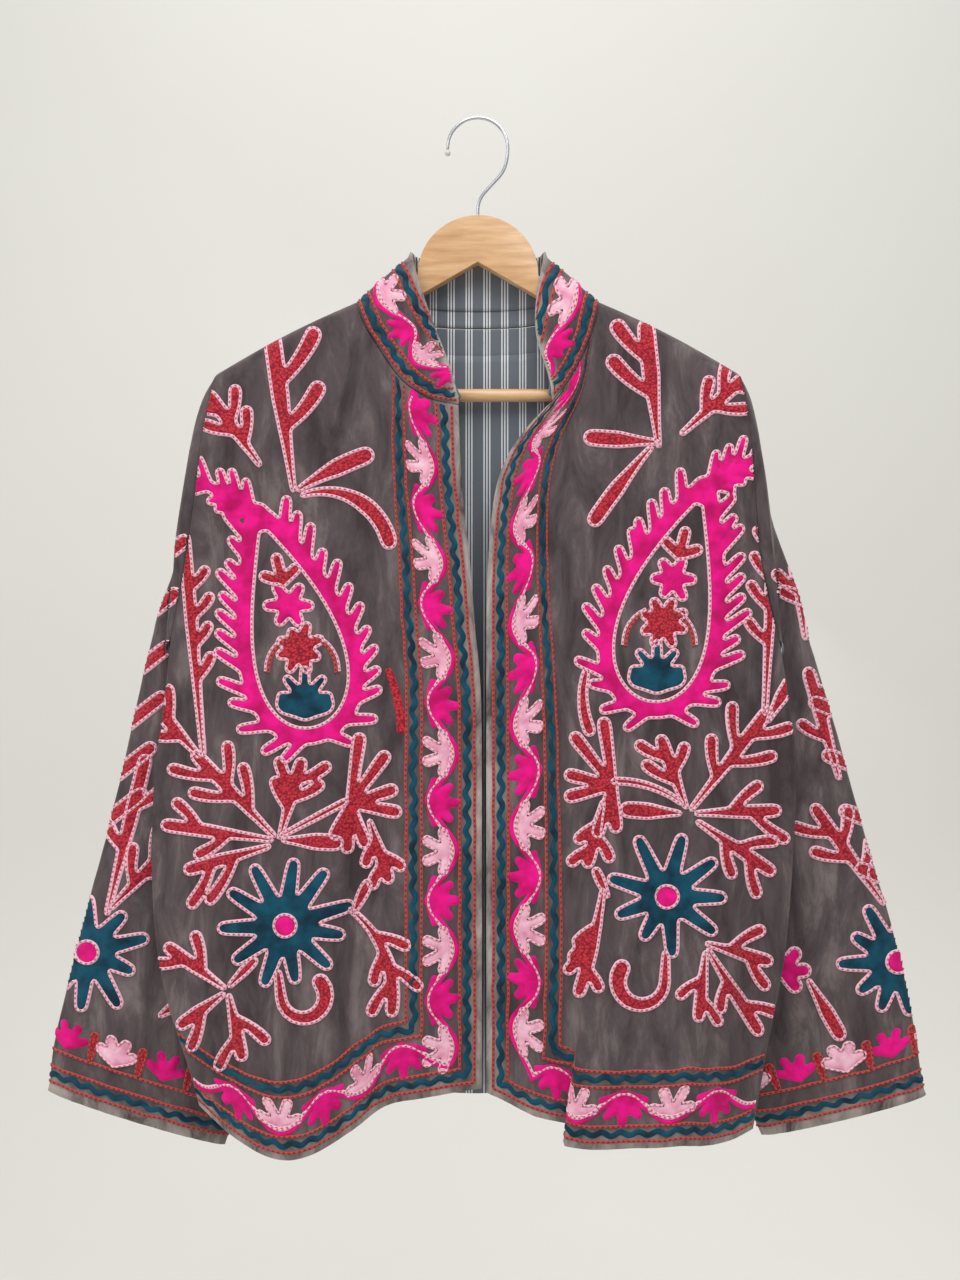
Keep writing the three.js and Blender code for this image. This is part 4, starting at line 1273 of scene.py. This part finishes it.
def border(work, front, hem):
    """The border of a front: down its edge, round the corner and along its hem."""
    front_place, front_length = from_edge(front, BORDER_DEPTH)
    hem_place, hem_length = from_edge(hem, BORDER_DEPTH)
    for away, thread in RAILS:
        down = rail(thread, 2, front_length - away + CORNER_SPARE, away)
        level = rail(thread, max(0, away - CORNER_SPARE), hem_length - 1, away)
        down, level = mitred(down, front_place, level, hem_place)
        sew_rail(work, front_place, thread, down)
        sew_rail(work, hem_place, thread, level)
    turn = front_length - VINE["middle"]
    lines = []
    for beside in (BUD_BESIDE, 0):
        down = vine(6, turn + CORNER_SPARE, VINE, FIRST_CREST, beside)
        level = vine(VINE["middle"] - CORNER_SPARE, hem_length - 2, VINE, HEM_CREST, beside)
        lines.append(mitred(down, front_place, level, hem_place))
    (bud_down, bud_level), (chain_down, chain_level) = lines
    sew_vine(work, front_place, bud_down, chain_down)
    sew_vine(work, hem_place, bud_level, chain_level)
    blooms(work, front_place, FIRST_CREST, turn, VINE)
    blooms(work, hem_place, HEM_CREST, hem_length - 8, VINE)


def front_and_hem(sheet):
    """The front edge of a panel from the neck down, and its hem from the front corner on."""
    runs = edge_runs(sheet)
    hem = lowest(runs)
    ends = {hem[0], hem[-1]}
    beside = [run for run in runs if run is not hem and ends & {run[0], run[-1]}]
    front = min(beside, key=lambda run: abs(sum(v.co.x for v in run) / len(run)))
    corner = next(v for v in (front[0], front[-1]) if v in ends)
    return (
        front if front[-1] is corner else front[::-1],
        hem if hem[0] is corner else hem[::-1],
    )


# ---- left front (the wearer's) ----------------------------------------------------------
# One cut piece of velvet from the shoulder seam to the hem. Its neck corner is turned
# back a little, and towards the hem it laps over itself in one long soft fold.

LEFT_FRONT_CREASES = [
    {"from": (110, -230), "to": (180, -330), "half": 8, "rise": -3, "bow": 6},
    {"from": (150, -250), "to": (215, -380), "half": 9, "rise": 3.5, "bow": 8},
    {"from": (195, -430), "to": (205, -700), "half": 12, "rise": 4.5, "bow": -10},
    {"from": (120, -500), "to": (150, -760), "half": 9, "rise": -4.5, "bow": 8},
    {"from": (128, -600), "to": (112, -780), "half": 7, "rise": 4, "bow": 5},
    {"from": (60, -420), "to": (50, -640), "half": 7, "rise": 3},
    {"from": (215, -640), "to": (225, -800), "half": 8, "rise": -4.5},
    {"from": (200, -480), "to": (240, -560), "half": 6, "rise": -3},
]

LEFT_FRONT_SPRIGS = [
    {"start": (150, -272), "turn": -6, "length": 100, "sides": "ll", "reach": 34, "body": 6},
    {"start": (150, -268), "turn": -86, "length": 56, "body": 5.6},
    {"start": (144, -272), "turn": -138, "length": 76, "curl": -8, "body": 5.4},
    {"start": (168, -262), "turn": 48, "length": 76, "sides": "lrlr", "reach": 23},
    {"start": (238, -494), "turn": 3, "length": 176, "sides": "llll", "reach": 21, "body": 4},
    {"start": (240, -500), "turn": 30, "length": 40},
    {"start": (176, -574), "turn": 38, "length": 104, "sides": "lrlr", "reach": 31},
    {"start": (173, -572), "turn": -20, "length": 60, "sides": "lrl", "reach": 23},
    {"start": (168, -576), "turn": -86, "length": 44, "body": 5.6},
    {"start": (170, -568), "turn": -52, "length": 62, "curl": -40, "body": 2},
    {"start": (104, -566), "turn": -166, "length": 52, "sides": "rlr", "reach": 19},
    {"start": (181, -576), "turn": 88, "length": 66, "sides": "lr", "reach": 30},
    {"start": (181, -582), "turn": 124, "length": 74, "sides": "rlr", "reach": 26},
    {"start": (190, -684), "turn": 106, "length": 52, "sides": "lr", "reach": 26},
    {"start": (190, -688), "turn": 148, "length": 80, "sides": "rl", "reach": 24},
    {"start": (189, -691), "turn": 186, "length": 54, "sides": "rl", "reach": 20, "body": 4},
    {"start": (104, -638), "turn": 188, "length": 88, "curl": 10, "sides": "rrrl", "reach": 19},
    {"start": (108, -646), "turn": -24, "length": 24, "body": 3},
]
LEFT_FRONT_FAN = {
    "base": (112, -553),
    "root": 2.8,
    "tip": 4.8,
    "strokes": ((-38, 50), (-8, 52), (-76, 36), (-104, 36), (176, 34), (198, 40)),
}


def stroke_group(group):
    """Several strokes that open from one base, each with its heading and length."""
    return [
        stroke(group["base"], turn, length, group["root"], group["tip"])
        for turn, length in group["strokes"]
    ]


def front_cloth(node, creases):
    """A front's sheet, creased, with a painted sheen and a pucker along its front edge and hem,
    and the places of its edges, its front edge and hem.
    """
    sheet = refined(node, (0, -1, 0))
    creased(sheet, creases)
    spots = edge_spots(sheet)
    edges = front_and_hem(sheet)
    edge_sheen(sheet, edges, 9)
    return sheet, spots, *edges


def ready(sheet):
    """Empty needlework for a sheet, and where work seen from the front lands on it."""
    sheet.normal_update()
    return needlework(), from_front(BVHTree.FromBMesh(sheet))


def sprays(work, place, sprigs, group=None):
    """Sews a panel's sprigs and the strokes that open from one base, in red."""
    for spray in sprigs:
        motif(work, place, "red", sprig(**spray))
    if group:
        motif(work, place, "red", stroke_group(group))


sheet, left_edges, front, hem = front_cloth("front_left", LEFT_FRONT_CREASES)
work, place = ready(sheet)
border(work, front, hem)
buta(work, place, (148, -483), 1)
sprays(work, place, LEFT_FRONT_SPRIGS, LEFT_FRONT_FAN)
star(work, place, (157, -645), 9, 50, 10)
motif(work, place, "red", [crook((156, -692), 182, 24, 72, 212, 2.2, 6.2)])
motif(work, place, "red", [stroke((90, -458), 196, 50, 2.2, 4.2, -38)])
trim = sewn(work, "left_front")
cloth_piece(sheet, "left_front", "front_left", (0.30, 0.70), 0.165, trim)

# ---- right front ------------------------------------------------------------------------
# The same cut turned over, hanging straight from its neck to the hem.

RIGHT_FRONT_CREASES = [
    {"from": (-95, -240), "to": (-150, -330), "half": 8, "rise": -3, "bow": -6},
    {"from": (-170, -262), "to": (-215, -350), "half": 8, "rise": 3.5, "bow": -6},
    {"from": (-195, -300), "to": (-225, -430), "half": 9, "rise": -4, "bow": -8},
    {"from": (-110, -480), "to": (-100, -760), "half": 8, "rise": -5, "bow": 6},
    {"from": (-88, -520), "to": (-84, -800), "half": 7, "rise": 4.5, "bow": -5},
    {"from": (-128, -580), "to": (-116, -790), "half": 7, "rise": 3.5, "bow": 4},
    {"from": (-215, -480), "to": (-205, -760), "half": 11, "rise": 4, "bow": 8},
    {"from": (-160, -640), "to": (-150, -820), "half": 10, "rise": -4},
]

RIGHT_FRONT_SPRIGS = [
    {"start": (-153, -308), "turn": -8, "length": 130, "sides": "rr", "reach": 40, "body": 6},
    {"start": (-150, -308), "turn": 56, "length": 64, "curl": 14, "body": 6.2},
    {"start": (-146, -312), "turn": 70, "length": 92, "curl": 96, "body": 5.6},
    {"start": (-180, -288), "turn": -36, "length": 72, "sides": "rlrl", "reach": 24},
    {"start": (-228, -528), "turn": -5, "length": 182, "sides": "rrrr", "reach": 19, "body": 4},
    {"start": (-230, -530), "turn": -42, "length": 56, "sides": "lr", "reach": 22},
    {"start": (-168, -596), "turn": -44, "length": 94, "sides": "rlrl", "reach": 30},
    {"start": (-164, -594), "turn": 16, "length": 62, "sides": "lrlr", "reach": 23},
    {"start": (-162, -598), "turn": 93, "length": 44, "body": 5.6},
    {"start": (-166, -596), "turn": 62, "length": 64, "body": 2},
    {"start": (-90, -582), "turn": 162, "length": 50, "sides": "rlr", "reach": 18},
    {"start": (-171, -598), "turn": -82, "length": 88, "sides": "lr", "reach": 28},
    {"start": (-172, -603), "turn": -106, "length": 70, "sides": "ll", "reach": 34},
    {"start": (-209, -722), "turn": -54, "length": 58, "sides": "rl", "reach": 22},
    {"start": (-210, -725), "turn": -126, "length": 44, "sides": "l", "reach": 28},
    {"start": (-207, -726), "turn": 168, "length": 52, "sides": "lr", "reach": 25},
    {"start": (-207, -720), "turn": 44, "length": 30, "body": 3},
    {"start": (-108, -654), "turn": 126, "length": 98, "curl": 62, "sides": "lrlr", "reach": 23},
    {"start": (-104, -660), "turn": 26, "length": 28, "body": 3.6},
]
RIGHT_FRONT_FAN = {
    "base": (-106, -568),
    "root": 2.8,
    "tip": 4.8,
    "strokes": ((8, 54), (36, 48), (72, 36), (100, 38), (160, 34), (184, 36), (206, 28)),
}

sheet, right_edges, front, hem = front_cloth("front_right", RIGHT_FRONT_CREASES)
work, place = ready(sheet)
border(work, front, hem)
buta(work, place, (-143, -505), -1)
sprays(work, place, RIGHT_FRONT_SPRIGS, RIGHT_FRONT_FAN)
star(work, place, (-160, -669), 11, 53, 4)
motif(work, place, "red", [crook((-166, -708), 173, 22, 68, -212, 2.2, 6)])
motif(work, place, "red", [stroke((-74, -458), 158, 50, 3.4, 4.2, 20)], None)
trim = sewn(work, "right_front")
cloth_piece(sheet, "right_front", "front_right", (0.30, 0.70), 0.165, trim)

# ---- back -------------------------------------------------------------------------------
# One wide piece of velvet with a sheet of lining sewn inside it, both cut level at the hem.

BACK_CREASES = [
    {"from": (-120, -260), "to": (-150, -560), "half": 12, "rise": 4, "bow": 10},
    {"from": (90, -240), "to": (140, -520), "half": 11, "rise": 3.5, "bow": -10},
    {"from": (-40, -420), "to": (-30, -780), "half": 9, "rise": 5, "bow": 8},
    {"from": (40, -450), "to": (60, -800), "half": 11, "rise": 4.5, "bow": -8},
    {"from": (160, -500), "to": (170, -800), "half": 12, "rise": 4},
    {"from": (-180, -480), "to": (-170, -790), "half": 10, "rise": 3.5, "bow": 6},
]

sheet = refined("back_panel", (0, 1, 0))
creased(sheet, BACK_CREASES, lift=1.3)
back_edges = edge_spots(sheet)
edge_sheen(sheet, [lowest(edge_runs(sheet))], 10)
cloth_piece(sheet, "back", "back_panel", (0.55, 0.68), 0.34)

LINING = {"thick": 1 * MM, "outside": striped}

sheet = refined("back_lining", (0, -1, 0), LINING["thick"])
cloth_piece(sheet, "back_lining_cotton", "back_lining", (0.53, 0.66), 0.31, **LINING)

# ---- sleeves ----------------------------------------------------------------------------
# Each is one piece of velvet sewn into a tube that narrows to the elbow and widens again
# to an open cuff.

LEFT_SLEEVE_CREASES = [
    {"from": (255, -330), "to": (265, -480), "half": 8, "rise": 3, "bow": 6},
    {"from": (265, -500), "to": (300, -560), "half": 7, "rise": -3},
    {"from": (275, -560), "to": (315, -640), "half": 9, "rise": 3, "bow": 5},
    {"from": (265, -640), "to": (270, -760), "half": 9, "rise": -4},
    {"from": (300, -660), "to": (330, -790), "half": 10, "rise": 3.5, "bow": -6},
]
RIGHT_SLEEVE_CREASES = [
    {"from": (-256, -340), "to": (-262, -480), "half": 8, "rise": 3, "bow": -5},
    {"from": (-262, -520), "to": (-290, -600), "half": 8, "rise": -3},
    {"from": (-282, -600), "to": (-305, -720), "half": 9, "rise": 3.5, "bow": -6},
    {"from": (-255, -660), "to": (-268, -780), "half": 8, "rise": -3},
    {"from": (-305, -700), "to": (-330, -800), "half": 9, "rise": -2.5},
]

CUFF_RAILS = ((9, "rust_row"), (15.5, "teal"), (22, "rust_row"), (36, "rust_row"))
CUFF_DEPTH = 80
CUFF_FLOWERS = 8                # tulips round a cuff, magenta and pale in turn

LEFT_SLEEVE_SPRIGS = [
    {"start": (272, -432), "turn": -8, "length": 96, "sides": "lr", "reach": 20, "body": 4.4},
    {"start": (300, -548), "turn": -16, "length": 92, "sides": "lrr", "reach": 20, "body": 4.4},
    {"start": (338, -652), "turn": -36, "length": 98, "sides": "rlrl", "reach": 27},
    {"start": (344, -650), "turn": -4, "length": 64, "sides": "lr", "reach": 20},
    {"start": (274, -714), "turn": 150, "length": 52, "body": 5},
]
LEFT_SLEEVE_OVALS = ((254, -392), (280, -484), (291, -528), (305, -574), (318, -622))
RIGHT_SLEEVE_SPRIGS = [
    {"start": (-308, -660), "turn": 14, "length": 132, "sides": "lr", "reach": 24, "body": 4.8},
    {"start": (-306, -656), "turn": 44, "length": 74, "sides": "lrl", "reach": 25},
    {"start": (-264, -744), "turn": 56, "length": 36, "body": 5.4},
]
RIGHT_SLEEVE_OVALS = (
    (-244, -350), (-252, -394), (-258, -438), (-263, -480), (-272, -522), (-280, -560)
)
OVAL_HALF = 5                   # half as wide as an oval leaf is


def sleeve_cloth(node, side, creases, spots):
    """A sleeve's sheet, creased, sewn to its armhole, with a painted sheen and a pucker at the
    cuff.
    """
    sheet = refined(node, (side, 0, 0))
    creased(sheet, creases)
    joined(sheet, spots, side)
    edge_sheen(sheet, [lowest(edge_runs(sheet))], 11)
    return sheet


def ovals(work, place, starts, turn, length):
    """Sews a row of plain oval leaves in red."""
    for start in starts:
        motif(work, place, "red", [stroke(start, turn, length, OVAL_HALF, OVAL_HALF)])


def cuff(work, sheet):
    """The border round a cuff, with tulips and short red strokes standing on its top row."""
    place, length = from_edge(lowest(edge_runs(sheet)), CUFF_DEPTH)
    for away, thread in CUFF_RAILS:
        sew_rail(work, place, thread, rail(thread, 0, length, away))
    for k in range(CUFF_FLOWERS):
        along = length * (k + 0.5) / CUFF_FLOWERS
        thread = ("magenta", "pale")[k % 2]
        edging = (None, "pink_row")[k % 2]
        strokes = fan((along, 43), 0, 4, 120, 19, 3.2, 4)
        motif(work, place, thread, strokes, edging, relief=1.4, width=2.2)
        between = along + length / CUFF_FLOWERS / 2
        if between < length - 8:
            line = stroke((between, 38), 0, 20, 1.6, 3)
            motif(work, place, "red", [line], "rust_row", width=2.4)


sheet = sleeve_cloth("sleeve_left", 1, LEFT_SLEEVE_CREASES, left_edges + back_edges)
work, place = ready(sheet)
cuff(work, sheet)
sprays(work, place, LEFT_SLEEVE_SPRIGS)
motif(work, place, "magenta", fan((252, -708), 60, 4, 150, 20, 3, 5.4))
ovals(work, place, LEFT_SLEEVE_OVALS, 112, 24)
star(work, place, (348, -699), 11, 47, 4)
trim = sewn(work, "left_sleeve")
cloth_piece(sheet, "left_sleeve", "sleeve_left", (0.42, 0.56), 0.155, trim)

sheet = sleeve_cloth("sleeve_right", -1, RIGHT_SLEEVE_CREASES, right_edges + back_edges)
work, place = ready(sheet)
cuff(work, sheet)
sprays(work, place, RIGHT_SLEEVE_SPRIGS)
ovals(work, place, RIGHT_SLEEVE_OVALS, -128, 48)
star(work, place, (-324, -691), 10, 51, 4)
trim = sewn(work, "right_sleeve")
cloth_piece(sheet, "right_sleeve", "sleeve_right", (0.42, 0.56), 0.155, trim)

# ---- collar -----------------------------------------------------------------------------
# A stand of velvet sewn round the neck, faced inside with the striped lining.

COLLAR_RAILS = ((3, "rust_row"), (8, "teal"), (13, "rust_row"),
                (40, "rust_row"), (45, "teal"), (50, "rust_row"))
COLLAR_VINE = {"middle": 26.5, "swing": 7, "repeat": 62}
COLLAR_CREST = 26

sheet = refined("collar_outer", (0, -1, -0.2))
creased(sheet, [], grain=0.8)
runs = edge_runs(sheet)
base = lowest([run for run in runs if len(run) > 20])
edge_sheen(sheet, [run for run in runs if run is not base], 6)
sheet.normal_update()
place, around = from_edge(base, 80)
work = needlework()
for away, thread in COLLAR_RAILS:
    sew_rail(work, place, thread, rail(thread, 2, around - 2, away))
bud, chain = (
    vine(6, around - 6, COLLAR_VINE, COLLAR_CREST, beside) for beside in (BUD_BESIDE, 0)
)
sew_vine(work, place, bud, chain)
blooms(work, place, COLLAR_CREST, around - 16, COLLAR_VINE, 0.85)
trim = sewn(work, "collar")
cloth_piece(sheet, "collar", "collar_outer", (0.50, 0.07), 0.024, trim)

sheet = refined("collar_lining", (0, 1, 0.5), LINING["thick"])
cloth_piece(sheet, "collar_facing", "collar_lining", (0.45, 0.06), 0.018, **LINING)
